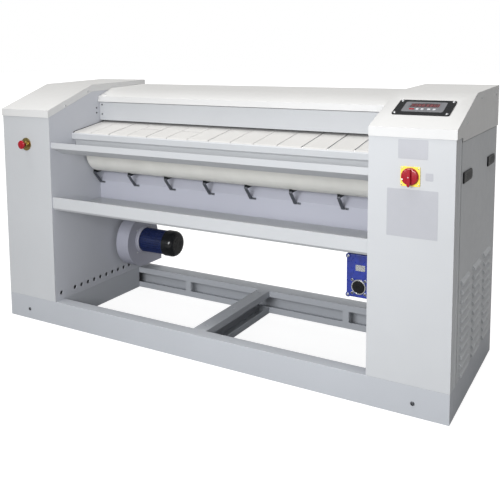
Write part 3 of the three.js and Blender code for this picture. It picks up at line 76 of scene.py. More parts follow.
LOG = logging.getLogger("ironer")
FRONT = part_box("base_front_rail")[0].y
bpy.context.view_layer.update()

MM = 0.001
SIDES = (-1, 1)
EVEN = (1.0, 1.0, 1.0)
NOISE_LOW, NOISE_HIGH = 0.3, 0.7  # most of a noise lies between these
WAVE_TURN = 20.0  # radians that Blender's wave turns in a metre, at scale 1
BEVEL_SAMPLES = 4
SHARP_EDGE = 35.0  # degrees from which an edge is rounded
FLAT_EDGE = 0.6  # degrees up to which two faces are one
WELD = 1e-5  # metres up to which two points are one
CORNER_STEPS = 6
BELT_STEPS = 16
FIN_HALF = 1.1  # half of a cooling fin's thickness

Point = Sequence[float]
Triple = tuple[float, float, float]
Spot = tuple[float, float]
Outline = list[Spot]
Socket = bpy.types.NodeSocket


def metres(point: Point) -> Vector:
    """Turns a place on the machine into a point of the model's frame.

    Args:
        point: x, distance back from the front panels and height, in millimetres.

    Returns:
        The same point in metres.
    """
    return Vector((point[0] * MM, FRONT + point[1] * MM, point[2] * MM))


# ------------------------------------------------------------------ finishes


class Graph:
    """Shader nodes of one material, with short calls for adding and wiring them."""

    def __init__(self, name: str) -> None:
        """Makes an empty node material with a Principled shader."""
        self.material = bpy.data.materials.new(name)
        self.material.use_nodes = True
        self.tree = self.material.node_tree
        self.tree.nodes.clear()
        self.output = self.tree.nodes.new("ShaderNodeOutputMaterial")
        self.shader = self.tree.nodes.new("ShaderNodeBsdfPrincipled")
        self.wire(self.shader.outputs["BSDF"], self.output.inputs["Surface"])

    def wire(self, source: Socket, target: Socket) -> None:
        """Links two sockets."""
        self.tree.links.new(source, target)

    def add(self, kind: str, settings: dict | None = None, **inputs: object) -> bpy.types.Node:
        """Adds a node.

        Args:
            kind: Blender's name of the node type, without the ShaderNode prefix.
            settings: properties of the node.
            inputs: values or sockets for the inputs, named with underscores for spaces.

        Returns:
            The new node.
        """
        node = self.tree.nodes.new("ShaderNode" + kind)
        for name, value in (settings or {}).items():
            setattr(node, name, value)
        for name, value in inputs.items():
            socket = node.inputs[name.replace("_", " ")]
            if isinstance(value, Socket):
                self.wire(value, socket)
            else:
                socket.default_value = value
        return node

    def place(self, stretch: Point = EVEN) -> Socket:
        """Coordinates fixed to the piece, in metres, stretched along each axis."""
        coordinates = self.add("TexCoord").outputs["Object"]
        return self.add("Mapping", Vector=coordinates, Scale=tuple(stretch)).outputs["Vector"]

    def noise(self, scale: float, detail: float = 3.0, stretch: Point = EVEN) -> Socket:
        """Noise of the given scale, from 0 to 1."""
        place = self.place(stretch)
        return self.add("TexNoise", Vector=place, Scale=scale, Detail=detail).outputs["Fac"]

    def span(self, noise: Socket, low: float, high: float) -> Socket:
        """Maps the middle of a noise onto a range."""
        limits = {"From_Min": NOISE_LOW, "From_Max": NOISE_HIGH, "To_Min": low, "To_Max": high}
        return self.add("MapRange", Value=noise, **limits).outputs["Result"]

    def tint(self, noise: Socket, dark: Point, light: Point) -> None:
        """Colours the surface between two tones.

        Args:
            noise: pattern that mixes the tones.
            dark: colour where the pattern is low.
            light: colour where it is high.
        """
        mix = self.add("Mix", {"data_type": "RGBA"})
        self.wire(self.span(noise, 0.0, 1.0), mix.inputs["Factor"])
        mix.inputs["A"].default_value = (*dark, 1.0)
        mix.inputs["B"].default_value = (*light, 1.0)
        self.wire(mix.outputs["Result"], self.shader.inputs["Base Color"])

    def gloss(self, noise: Socket, low: float, high: float) -> None:
        """Lets a pattern vary the roughness over a range."""
        self.wire(self.span(noise, low, high), self.shader.inputs["Roughness"])

    def relief(self, height: Socket, depth: float, strength: float, edge: float = 0.0) -> None:
        """Gives the shader a bumpy surface, with softened edges.

        Args:
            height: bump height from 0 to 1.
            depth: real height of the bumps, in metres.
            strength: share of the bump that shows.
            edge: radius by which sharp edges look rounded, in metres.
        """
        bump = self.add("Bump", Height=height, Distance=depth, Strength=strength)
        if edge > 0:
            bevel = self.add("Bevel", {"samples": BEVEL_SAMPLES}, Radius=edge)
            self.wire(bevel.outputs["Normal"], bump.inputs["Normal"])
        self.wire(bump.outputs["Normal"], self.shader.inputs["Normal"])

    def set(self, **values: float | Point) -> None:
        """Sets constant inputs of the shader."""
        for name, value in values.items():
            self.shader.inputs[name.replace("_", " ")].default_value = value


@dataclass(frozen=True)
class Finish(ABC):
    """A surface finish that makes its material once."""

    made: ClassVar[dict[str, bpy.types.Material]] = {}
    name: str
    slot: str
    colour: Triple

    def material(self) -> bpy.types.Material:
        """The finish's material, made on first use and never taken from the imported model."""
        if self.name not in self.made:
            graph = Graph(self.name)
            self.fill(graph)
            self.made[self.name] = graph.material
        return self.made[self.name]

    def tones(self, *factors: float) -> list[tuple[float, ...]]:
        """The colour made darker or lighter by each factor."""
        return [tuple(min(1.0, channel * factor) for channel in self.colour) for factor in factors]

    @abstractmethod
    def fill(self, graph: Graph) -> None:
        """Adds the finish's nodes to an empty material."""


@dataclass(frozen=True)
class PowderCoat(Finish):
    """Sprayed and baked paint with a faint orange-peel surface."""

    roughness: float = 0.42
    edge: float = 0.0007

    def fill(self, graph: Graph) -> None:
        """Cloudy tint, fine peel and softly rounded edges."""
        graph.tint(graph.noise(2.2, 4.0), *self.tones(0.97, 1.02))
        graph.gloss(graph.noise(40.0), self.roughness - 0.05, self.roughness + 0.06)
        graph.relief(graph.noise(620.0, 2.0), 0.00025, 0.35, self.edge)


@dataclass(frozen=True)
class Enamel(Finish):
    """Thick gloss paint over a casting."""

    roughness: float = 0.3

    def fill(self, graph: Graph) -> None:
        """Uneven gloss over a pitted casting."""
        graph.tint(graph.noise(55.0, 6.0), *self.tones(0.75, 1.25))
        graph.gloss(graph.noise(90.0), self.roughness - 0.08, self.roughness + 0.15)
        graph.relief(graph.noise(260.0, 4.0), 0.0006, 0.5, 0.002)
        graph.set(Coat_Weight=0.4, Coat_Roughness=0.15)


@dataclass(frozen=True)
class Metal(Finish):
    """Bare metal, brushed along one axis or left as cast."""

    roughness: float = 0.3
    stretch: Triple = EVEN
    grain: float = 300.0

    def fill(self, graph: Graph) -> None:
        """Grain in colour, roughness and relief."""
        grain = graph.noise(self.grain, 4.0, self.stretch)
        graph.tint(grain, *self.tones(0.82, 1.12))
        graph.gloss(grain, self.roughness - 0.08, self.roughness + 0.12)
        graph.relief(grain, 0.0002, 0.5, 0.001)
        graph.set(Metallic=1.0)


@dataclass(frozen=True)
class Plastic(Finish):
    """Moulded plastic with a fine spark texture."""

    roughness: float = 0.4
    texture: float = 900.0
    mottle: float = 0.05
    specular: float = 0.5

    def fill(self, graph: Graph) -> None:
        """Fine texture and a slight change of tone."""
        graph.tint(graph.noise(30.0), *self.tones(1 - self.mottle, 1 + self.mottle))
        fine = graph.noise(self.texture, 2.0)
        graph.gloss(fine, self.roughness - 0.05, self.roughness + 0.08)
        graph.relief(fine, 0.0001, 0.4, 0.0008)
        graph.set(Specular_IOR_Level=self.specular)


@dataclass(frozen=True)
class Cloth(Finish):
    """Woven cloth: threads along x and round the rollers."""

    thread: float = 0.0012
    depth: float = 0.0003
    stain: float = 0.95

    def fill(self, graph: Graph) -> None:
        """Two crossing thread waves, with wear in broad patches."""
        frequency = math.tau / self.thread / WAVE_TURN
        weave = graph.add("Math", {"operation": "MULTIPLY"})
        threads = (("X", EVEN), ("DIAGONAL", (0.0, 1.0, 1.0)))
        for (direction, stretch), factor in zip(threads, weave.inputs):
            wave = graph.add(
                "TexWave", {"bands_direction": direction}, Vector=graph.place(stretch),
                Scale=frequency, Distortion=0.4,
            )
            graph.wire(wave.outputs["Fac"], factor)
        graph.tint(graph.noise(9.0, 5.0, (1.0, 0.4, 0.4)), *self.tones(self.stain, 1.02))
        graph.relief(weave.outputs["Value"], self.depth, 0.5)
        graph.set(Roughness=0.9, Sheen_Weight=0.08, Sheen_Roughness=0.5, Specular_IOR_Level=0.2)


@dataclass(frozen=True)
class TintedWindow(Finish):
    """Dark tinted window over a display."""

    def fill(self, graph: Graph) -> None:
        """Deep colour under a glossy coat with faint smears."""
        graph.tint(graph.noise(60.0), *self.tones(0.85, 1.2))
        graph.gloss(graph.noise(45.0, 5.0), 0.05, 0.16)
        graph.relief(graph.noise(300.0), 0.00005, 0.2)
        graph.set(Coat_Weight=0.6, Coat_Roughness=0.05)


CABINET_PAINT = PowderCoat("cabinet_paint", "paint", (0.50, 0.513, 0.528))
# Painted shade: a bluer copy of the cabinet paint that stands in for the bluish shade on the frame
# plates' inner cheeks.
SHADE_TINTED_CHEEK_PAINT = PowderCoat("shade_tinted_cheek_paint", "inner_paint", (0.50, 0.513, 0.55))
# Painted shade: a darker, bluer copy of the cabinet paint that stands in for the shade on the guide
# plate.
SHADE_TINTED_INNER_PAINT = PowderCoat("shade_tinted_inner_coat", "inner_paint", (0.46, 0.468, 0.53))
# Painted top light: a lighter copy of the cabinet paint, used on the lids and the hood.
TOP_LIT_PAINT = PowderCoat("top_lit_coat", "lid_paint", (0.63, 0.63, 0.625), 0.45)
FRAME_PAINT = PowderCoat("frame_paint", "paint", (0.44, 0.458, 0.487), 0.46)
BRIGHT_STEEL = Metal("bright_steel", "steel", (0.62, 0.63, 0.64), 0.28)
TURNED_STEEL = Metal("turned_steel", "steel", (0.6, 0.61, 0.62), 0.25, (40.0, 1.0, 1.0))
DARK_STEEL = Metal("blackened_steel", "dark_steel", (0.13, 0.135, 0.145), 0.42)
STRAP_STEEL = Metal("strap_steel", "dark_steel", (0.20, 0.21, 0.23), 0.5)
CAST_ALUMINIUM = Metal("cast_alloy", "cast_aluminium", (0.62, 0.63, 0.67), 0.55, grain=220.0)
CASTING_PAINT = PowderCoat("casting_paint", "cast_aluminium", (0.40, 0.405, 0.47), 0.5)
COLLAR_BRASS = Metal("collar_brass", "safety_yellow", (0.42, 0.33, 0.12), 0.3)
BLACK_PLASTIC = Plastic("moulded_black", "black_plastic", (0.008, 0.009, 0.010), 0.3, specular=0.25)
GLOSS_BLACK = Plastic("gloss_black", "black_plastic", (0.010, 0.011, 0.012), 0.16, specular=0.5)
GREY_PLASTIC = Plastic("moulded_grey", "grey_plastic", (0.16, 0.163, 0.175), 0.42, specular=0.3)
LATCH_GREY = Plastic("latch_grey", "black_plastic", (0.016, 0.017, 0.019), 0.45)
PALE_KEY = Plastic("pale_key", "grey_plastic", (0.62, 0.63, 0.66), 0.35)
STOP_RED = Plastic("signal_red", "stop_red", (0.33, 0.004, 0.014), 0.2)
SAFETY_YELLOW = Plastic("signal_yellow", "safety_yellow", (0.92, 0.70, 0.06), 0.35)
WHITE_MARK = Plastic("white_mark", "grey_plastic", (0.85, 0.85, 0.85), 0.4)
BARE_FILM = Plastic("bare_film", "grey_plastic", (0.41, 0.417, 0.445), 0.3, 1500.0, 0.012)
BLUE_ENAMEL = Enamel("gearbox_enamel", "blue_enamel", (0.014, 0.034, 0.30), 0.3)
MOTOR_BLUE = Enamel("motor_enamel", "motor_blue", (0.008, 0.018, 0.085), 0.38)
ROLL_CLOTH = Cloth("roll_cloth", "roll_felt", (0.70, 0.695, 0.655), 0.0016, 0.0005, 0.93)
BAND_CLOTH = Cloth("band_canvas", "band_cloth", (0.56, 0.553, 0.54), 0.0012, 0.0003, 0.97)
BAND_SEAM = Cloth("band_seam", "band_cloth", (0.42, 0.41, 0.41), 0.0012, 0.0003, 0.9)
DISPLAY_GLASS = TintedWindow("display_glass", "display_red", (0.045, 0.010, 0.013))
DISPLAY_BARS = TintedWindow("display_bars", "display_red", (0.20, 0.025, 0.03))


# ------------------------------------------------------------------ shapes


class Axis(Enum):
    """Direction in which an outline is drawn out, as the order of (u, v, along) in a place.

    So an outline is (back, height) along X, (x, height) along Y and (x, back) along Z.
    """

    X = (2, 0, 1)
    Y = (0, 2, 1)
    Z = (0, 1, 2)

    def point(self, u: float, v: float, along: float) -> tuple[float, ...]:
        """Place of an outline's point at a distance along the axis."""
        return tuple((u, v, along)[index] for index in self.value)


def polar(centre: Spot, radius: float, degrees: float) -> Spot:
    """Point of a circle at an angle."""
    angle = math.radians(degrees)
    return centre[0] + radius * math.cos(angle), centre[1] + radius * math.sin(angle)


def circle(u: float, v: float, radius: float, sides: int) -> Outline:
    """Points of a circle."""
    angles = (math.tau * i / sides for i in range(sides))
    return [(u + radius * math.cos(a), v + radius * math.sin(a)) for a in angles]


def corners(u: float, v: float, half_u: float, half_v: float) -> Outline:
    """The corners of a rectangle, by its centre and half sizes."""
    return [(u + right * half_u, v + up * half_v) for right, up in product(SIDES, SIDES)]


def rounded_rectangle(
    u: float, v: float, half_u: float, half_v: float, radius: float
) -> Outline:
    """Rectangle with round corners.

    Args:
        u: first coordinate of its centre.
        v: second coordinate of its centre.
        half_u: half its size along u.
        half_v: half its size along v.
        radius: radius of its corners.

    Returns:
        Its points.
    """
    return [
        polar((u + right * (half_u - radius), v + up * (half_v - radius)), radius,
              90 * (quarter - 1) + 90 * i / CORNER_STEPS)
        for quarter, (right, up) in enumerate([(1, -1), (1, 1), (-1, 1), (-1, -1)])
        for i in range(CORNER_STEPS + 1)
    ]


def stitch(
    shape: bmesh.types.BMesh, first: list[bmesh.types.BMVert], second: list[bmesh.types.BMVert]
) -> None:
    """Joins two rings of points by faces.

    Args:
        shape: mesh that holds the points.
        first: one ring, or a single point.
        second: the other.
    """
    count = max(len(first), len(second))
    for i in range(count):
        j = (i + 1) % count
        around = (first[i % len(first)], first[j % len(first)],
                  second[j % len(second)], second[i % len(second)])
        kept = list(dict.fromkeys(around))
        if len(kept) > 2:
            shape.faces.new(kept)


def link(name: str, data: bpy.types.ID) -> bpy.types.Object:
    """Puts an object into the scene.

    Args:
        name: name of the object.
        data: its mesh, camera or light.

    Returns:
        The object.
    """
    thing = bpy.data.objects.new(name, data)
    bpy.context.scene.collection.objects.link(thing)
    return thing


class Workpiece:
    """Collects shapes of several finishes into one mesh that rides on a body."""

    def __init__(self, name: str, body: str, turn: Matrix | None = None) -> None:
        """Starts an empty piece.

        Args:
            name: name of the piece.
            body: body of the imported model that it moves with.
            turn: placement in millimetres for shapes drawn in a frame of their own.
        """
        self.name = name
        self.body = body
        self.turn = turn
        self.mesh = bmesh.new()
        self.finishes: list[Finish] = []

    def merge(self, shape: bmesh.types.BMesh, finish: Finish, bevel: float) -> None:
        """Rounds a shape's sharp edges and adds it to the piece.

        Args:
            shape: closed mesh in metres.
            finish: its finish.
            bevel: width of the rounding in millimetres.
        """
        bmesh.ops.recalc_face_normals(shape, faces=shape.faces)
        if bevel > 0:
            sharp = [
                e for e in shape.edges
                if len(e.link_faces) == 2 and e.calc_face_angle() > math.radians(SHARP_EDGE)
            ]
            bmesh.ops.bevel(
                shape, geom=sharp, offset=bevel * MM, segments=2, profile=0.5,
                affect="EDGES", clamp_overlap=True,
            )
        if finish not in self.finishes:
            self.finishes.append(finish)
        for face in shape.faces:
            face.material_index = self.finishes.index(finish)
        carrier = bpy.data.meshes.new("carrier")
        shape.to_mesh(carrier)
        shape.free()
        self.mesh.from_mesh(carrier)
        bpy.data.meshes.remove(carrier)

    def ring(
        self, shape: bmesh.types.BMesh, axis: Axis, outline: Sequence[Spot], along: float
    ) -> list[bmesh.types.BMVert]:
        """Points of an outline at a place along an axis, after the piece's own placement."""
        places = (axis.point(u, v, along) for u, v in outline)
        return [
            shape.verts.new(metres(self.turn @ Vector(place) if self.turn else place))
            for place in places
        ]

    def prism(
        self, axis: Axis, outline: Outline, start: float, end: float, finish: Finish,
        bevel: float = 0.5,
    ) -> None:
        """Draws an outline out along an axis.

        Args:
            axis: direction of the prism.
            outline: points of the section, in millimetres.
            start: place of one end along the axis.
            end: place of the other end.
            finish: finish of the prism.
            bevel: rounding of its edges.
        """
        shape = bmesh.new()
        rings = [self.ring(shape, axis, outline, along) for along in (start, end)]
        for ring in rings:
            shape.faces.new(ring)
        stitch(shape, *rings)
        self.merge(shape, finish, bevel)

    def box(self, low: Point, high: Point, finish: Finish, bevel: float = 0.5) -> None:
        """Adds a box between two corners."""
        outline = [(low[0], low[1]), (high[0], low[1]), (high[0], high[1]), (low[0], high[1])]
        self.prism(Axis.Z, outline, low[2], high[2], finish, bevel)

    def revolve(
        self, axis: Axis, centre: Spot, profile: Sequence[Spot], finish: Finish, sides: int = 48,
        ring: bool = False,
    ) -> None:
        """Turns a profile round an axis.

        Args:
            axis: direction of the axis.
            centre: the two coordinates of the axis, as in an outline.
            profile: (radius, place along the axis) pairs.
            finish: finish of the turned shape.
            sides: steps round the axis.
            ring: whether the profile closes on itself, in place of ending on the axis.
        """
        shape = bmesh.new()
        rows = [
            self.ring(
                shape, axis, circle(*centre, radius, sides) if radius > 0 else [centre], along)
            for radius, along in profile
        ]
        for first, second in zip(rows, rows[1:] + rows[:1] if ring else rows[1:]):
            stitch(shape, first, second)
        self.merge(shape, finish, 0.0)

    def fins(
        self, axis: Axis, centre: Spot, count: int, reach: Spot, shadow_plates: Spot, finish: Finish
    ) -> None:
        """Sets thin cooling fins round an axis.

        Args:
            axis: direction of the axis.
            centre: the two coordinates of the axis, as in an outline.
            count: number of fins.
            reach: inner and outer radius of a fin.
            shadow_plates: where a fin starts and ends along the axis.
            finish: finish of the fins.
        """
        inner, outer = reach
        for i in range(count):
            angle = math.tau * i / count
            u, v = math.cos(angle), math.sin(angle)
            side_u, side_v = -v * FIN_HALF, u * FIN_HALF
            outline = [
                (centre[0] + u * radius + way * side_u, centre[1] + v * radius + way * side_v)
                for radius, way in ((inner, -1), (outer, -1), (outer, 1), (inner, 1))
            ]
            self.prism(axis, outline, *shadow_plates, finish, 0.0)

    def done(self, *replaced: str, sharp: float = 32.0) -> None:
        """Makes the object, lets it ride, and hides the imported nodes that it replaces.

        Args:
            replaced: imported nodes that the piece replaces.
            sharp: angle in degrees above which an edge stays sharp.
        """
        data = bpy.data.meshes.new(self.name)
        self.mesh.to_mesh(data)
        self.mesh.free()
        for finish in self.finishes:
            data.materials.append(finish.material())
        data.shade_smooth()
        data.set_sharp_from_angle(angle=math.radians(sharp))
        piece = link(self.name, data)
        flatten = piece.modifiers.new("flat_faces", "WEIGHTED_NORMAL")
        flatten.weight = 100
        flatten.keep_sharp = True
        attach(piece, self.body)
        if replaced:
            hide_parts(*replaced)
        LOG.info("%s: %d faces", self.name, len(data.polygons))


def body_of(node: str) -> str:
    """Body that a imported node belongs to."""
    return frame["nodes"][node]["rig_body"]


def soften(node: str, finish: Finish, bevel: float = 0.8) -> None:
    """Replaces a sheet-metal node by the same shape with rounded edges.

    Args:
        node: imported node.
        finish: its finish.
        bevel: width of the rounding in millimetres.
    """
    shape = bmesh.new()
    shape.from_mesh(frame["nodes"][node].data)
    bmesh.ops.remove_doubles(shape, verts=shape.verts, dist=WELD)
    bmesh.ops.dissolve_limit(
        shape, angle_limit=math.radians(FLAT_EDGE), verts=shape.verts, edges=shape.edges
    )
    piece = Workpiece(node + "_sheet", body_of(node))
    piece.merge(shape, finish, bevel)
    piece.done(node)


def dress(node: str, finish: Finish) -> None:
    """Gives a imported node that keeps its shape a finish."""
    for slot in frame["nodes"][node].material_slots:
        slot.material = finish.material()


def screw(
    piece: Workpiece, axis: Axis, centre: Spot, seat: float, out: int, radius: float,
    finish: Finish = BRIGHT_STEEL,
) -> None:
    """Adds a pan-head screw with a hexagon socket.

    Args:
        piece: piece that the screw joins.
        axis: direction of the screw.
        centre: its place in the outline's coordinates.
        seat: place of the seat along the axis.
        out: 1 or -1, the way that the head stands out.
        radius: radius of the head.
        finish: finish of the head.
    """
    tall = radius * 0.55 * out
    piece.revolve(axis, centre, [
        (0, seat - out), (radius * 1.25, seat - out), (radius * 1.25, seat + 0.4 * out),
        (radius, seat + 0.5 * out), (radius, seat + tall * 0.5), (radius * 0.8, seat + tall),
        (radius * 0.5, seat + tall * 1.1), (radius * 0.42, seat + tall * 0.5),
        (0, seat + tall * 0.5),
    ], finish, 16)


# ------------------------------------------------------------------ sub-assemblies


@dataclass
class BaseFrame:
    """Low frame of lipped channels that the columns stand on."""

    rail_rounding: float = 1.2
    rounding: float = 1.0
    bolt_x: float = 937.0
    bolt_height: float = 48.0
    bolt_radius: float = 6.5

    def build(self) -> None:
        """Rounds the channels' edges and adds the front bolts."""
        for node in ("base_front_rail", "base_rear_rail"):
            soften(node, FRAME_PAINT, self.rail_rounding)
        for node in ("base_cross_beam", "left_base_pan", "right_base_pan"):
            soften(node, FRAME_PAINT, self.rounding)
        bolts = Workpiece("base_bolts", "frame")
        for side in SIDES:
            spot = (side * self.bolt_x, self.bolt_height)
            screw(bolts, Axis.Y, spot, 0, -1, self.bolt_radius, DARK_STEEL)
        bolts.done()


@dataclass
class Column:
    """One column: frame plate, panels, lid, louvred door and its latches."""

    side: int
    half: float = 1065.0
    inner: float = 765.0
    door_rounding: float = 0.6
    bead_back: Spot = (50.0, 64.0)
    bead_heights: Spot = (113.0, 977.0)
    bead_proud: float = 2.6
    bead_steps: int = 8
    cheek_step: float = 3.5
    screw_radius: float = 4.0
    cheek_screws: tuple[Spot, ...] = ((132.0, 1026.0), (361.0, 1095.0), (640.0, 1095.0))
    skirt_screws: tuple[Spot, ...] = ((107.0, 1027.0), (262.0, 1086.0), (560.0, 1098.0))
    latch_middle: Spot = (168.0, 580.0)
    latch_height: float = 838.0
    latch_faces: Spot = (0.3, 5.3)
    latch_round: float = 19.0
    round_back: float = 47.0
    pin_front: float = 63.5
    pin_radius: float = 2.5

    @property
    def name(self) -> str:
        """Left or right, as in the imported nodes."""
        return "left" if self.side < 0 else "right"

    def build(self) -> None:
        """Builds the column's sheets, screws, bead and latches."""
        # The frame plate's bluish tint is painted shade.
        soften(f"{self.name}_frame_plate", SHADE_TINTED_CHEEK_PAINT)
        for part in ("front_panel", "back_panel"):
            soften(f"{self.name}_{part}", CABINET_PAINT)
        # The lid's lighter coat is painted top light.
        soften(f"{self.name}_lid", TOP_LIT_PAINT)
        soften(f"{self.name}_side_door", CABINET_PAINT, self.door_rounding)
        self.corner_bead()
        self.screws()
        for end, back in zip(("front", "rear"), self.latch_middle):
            self.latch(end, back)
        dress(f"{self.name}_roll_bearing", DARK_STEEL)

    def corner_bead(self) -> None:
        """Pressed bead that stiffens the wrapped edge of the front panel."""
        low, high = self.bead_back
        skin = self.side * self.half
        middle = (low + high) / 2
        outline = [(skin - self.side * 0.5, low)]
        for i in range(self.bead_steps + 1):
            angle = math.pi * i / self.bead_steps
            outline.append((
                skin + self.side * self.bead_proud * math.sin(angle),
                middle - (high - low) / 2 * math.cos(angle),
            ))
        outline.append((skin - self.side * 0.5, high))
        bead = Workpiece(f"{self.name}_corner_bead", "frame")
        bead.prism(Axis.Z, outline, *self.bead_heights, CABINET_PAINT, 0.0)
        bead.done()

    def screws(self) -> None:
        """Screws that hold the lid, on its cheek and on its inner skirt."""
        piece = Workpiece(f"{self.name}_lid_screws", "frame")
        for spots, seat, out in (
            (self.cheek_screws, self.side * (self.half + self.cheek_step), self.side),
            (self.skirt_screws, self.side * self.inner, -self.side),
        ):
            for spot in spots:
                screw(piece, Axis.X, spot, seat, out, self.screw_radius)
        piece.done()

    def latch(self, end: str, back: float) -> None:
        """Pull paddle with a round rear end and a sunk finger patch.

        Args:
            end: front or rear.
            back: place of the latch's middle.
        """
        node = f"{self.name}_{end}_latch"
        low, high = (self.side * (self.half + step) for step in self.latch_faces)
        height, radius, pin = self.latch_height, self.latch_round, back - self.pin_front
        bottom, top = height - radius, height + radius
        end_round = [
            polar((back + self.round_back, height), radius, 15 * i - 90) for i in range(13)
        ]
        piece = Workpiece(f"{node}_paddle", body_of(node))
        outline = [(pin, bottom), *end_round, (pin, top)]
        piece.prism(Axis.X, outline, low, high, BLACK_PLASTIC, 1.2)
        patch = rounded_rectangle(back + 14, height, 36, 11.5, 9)
        piece.prism(Axis.X, patch, high - self.side * 0.3, high + self.side * 0.3, LATCH_GREY, 0.15)
        profile = [(0, bottom), (self.pin_radius, bottom), (self.pin_radius, top), (0, top)]
        piece.revolve(Axis.Z, ((low + high) / 2, pin), profile, BLACK_PLASTIC, 24)
        piece.done(node)


@dataclass
class StopButton:
    """Emergency stop on the left column. Its rings are (radius, place) profiles."""

    centre: Spot = (-915.0, 850.0)
    flange: tuple[Spot, ...] = (
        (8.3, -0.3), (30, -0.3), (30, -1.8), (27.5, -2.6), (17, -4.3), (8.3, -4.3))
    bezel: tuple[Spot, ...] = ((8.3, -4.3), (15, -4.3), (15, -12.6), (14, -14.3), (8.3, -14.3))
    barrel: tuple[Spot, ...] = ((8.3, -0.3), (10.6, -0.3), (10.6, 24), (8.3, 24))
    mushroom: tuple[Spot, ...] = (
        (0, 16), (7.8, 16), (7.9, -24), (12, -24.3), (18.6, -27.2), (20, -29.4), (20, -32.2),
        (18.8, -34.2), (15.5, -36), (9, -37.1), (0, -37.3))

    def build(self) -> None:
        """Turned collar, bezel and mushroom head."""
        collar = Workpiece("stop_collar", "frame")
        collar.revolve(Axis.Y, self.centre, self.flange, COLLAR_BRASS, 64, ring=True)
        collar.revolve(Axis.Y, self.centre, self.bezel, COLLAR_BRASS, 48, ring=True)
        collar.revolve(Axis.Y, self.centre, self.barrel, BLACK_PLASTIC, 32, ring=True)
        collar.done("stop_button_collar")
        head = Workpiece("stop_mushroom", "stop_head")
        head.revolve(Axis.Y, self.centre, self.mushroom, STOP_RED, 64)
        head.done("stop_button")


@dataclass
class MainSwitch:
    """Rotary main switch on the right column."""

    centre: Spot = (915.0, 848.0)
    half_plate: float = 33.5
    screw_inset: float = 5.0
    knob: tuple[Spot, ...] = (
        (0, 2), (8, 2), (8, -4.4), (29.6, -4.6), (30, -5.2), (30, -10), (29, -13.5),
        (26.5, -15.8), (22, -16.6), (0, -16.6))
    grip: tuple[Spot, ...] = (
        (-6.5, 27), (-6.5, -20), (-5.5, -27), (0, -35), (5.5, -27), (6.5, -20), (6.5, 27),
        (3, 29.5), (-3, 29.5))
    mark_radius: float = 25.5
    mark_angles: Spot = (90, 200)

    def build(self) -> None:
        """Yellow plate, round red knob with a grip, and the body behind the panel."""
        x, height = self.centre
        plate = Workpiece("switch_face", "frame")
        half = self.half_plate
        outline = rounded_rectangle(x, height, half, half, 4)
        plate.prism(Axis.Y, outline, -4.3, -0.3, SAFETY_YELLOW, 0.8)
        for spot in corners(x, height, half - self.screw_inset, half - self.screw_inset):
            screw(plate, Axis.Y, spot, -4.3, -1, 2.2)
        plate.done("switch_plate")
        knob = Workpiece("switch_handle", "switch")
        knob.revolve(Axis.Y, self.centre, self.knob, STOP_RED, 72)
        grip = [(x + u, height + v) for u, v in self.grip]
        knob.prism(Axis.Y, grip, -29.4, -15, STOP_RED, 2.4)
        for angle in self.mark_angles:
            mark = circle(*polar(self.centre, self.mark_radius, angle), 2.6, 16)
            knob.prism(Axis.Y, mark, -17.4, -14, WHITE_MARK, 0.2)
        knob.prism(Axis.Y, circle(x, height, 1.6, 16), -29.7, -28, WHITE_MARK, 0.2)
        knob.done("switch_knob")
        dress("switch_body", BLACK_PLASTIC)


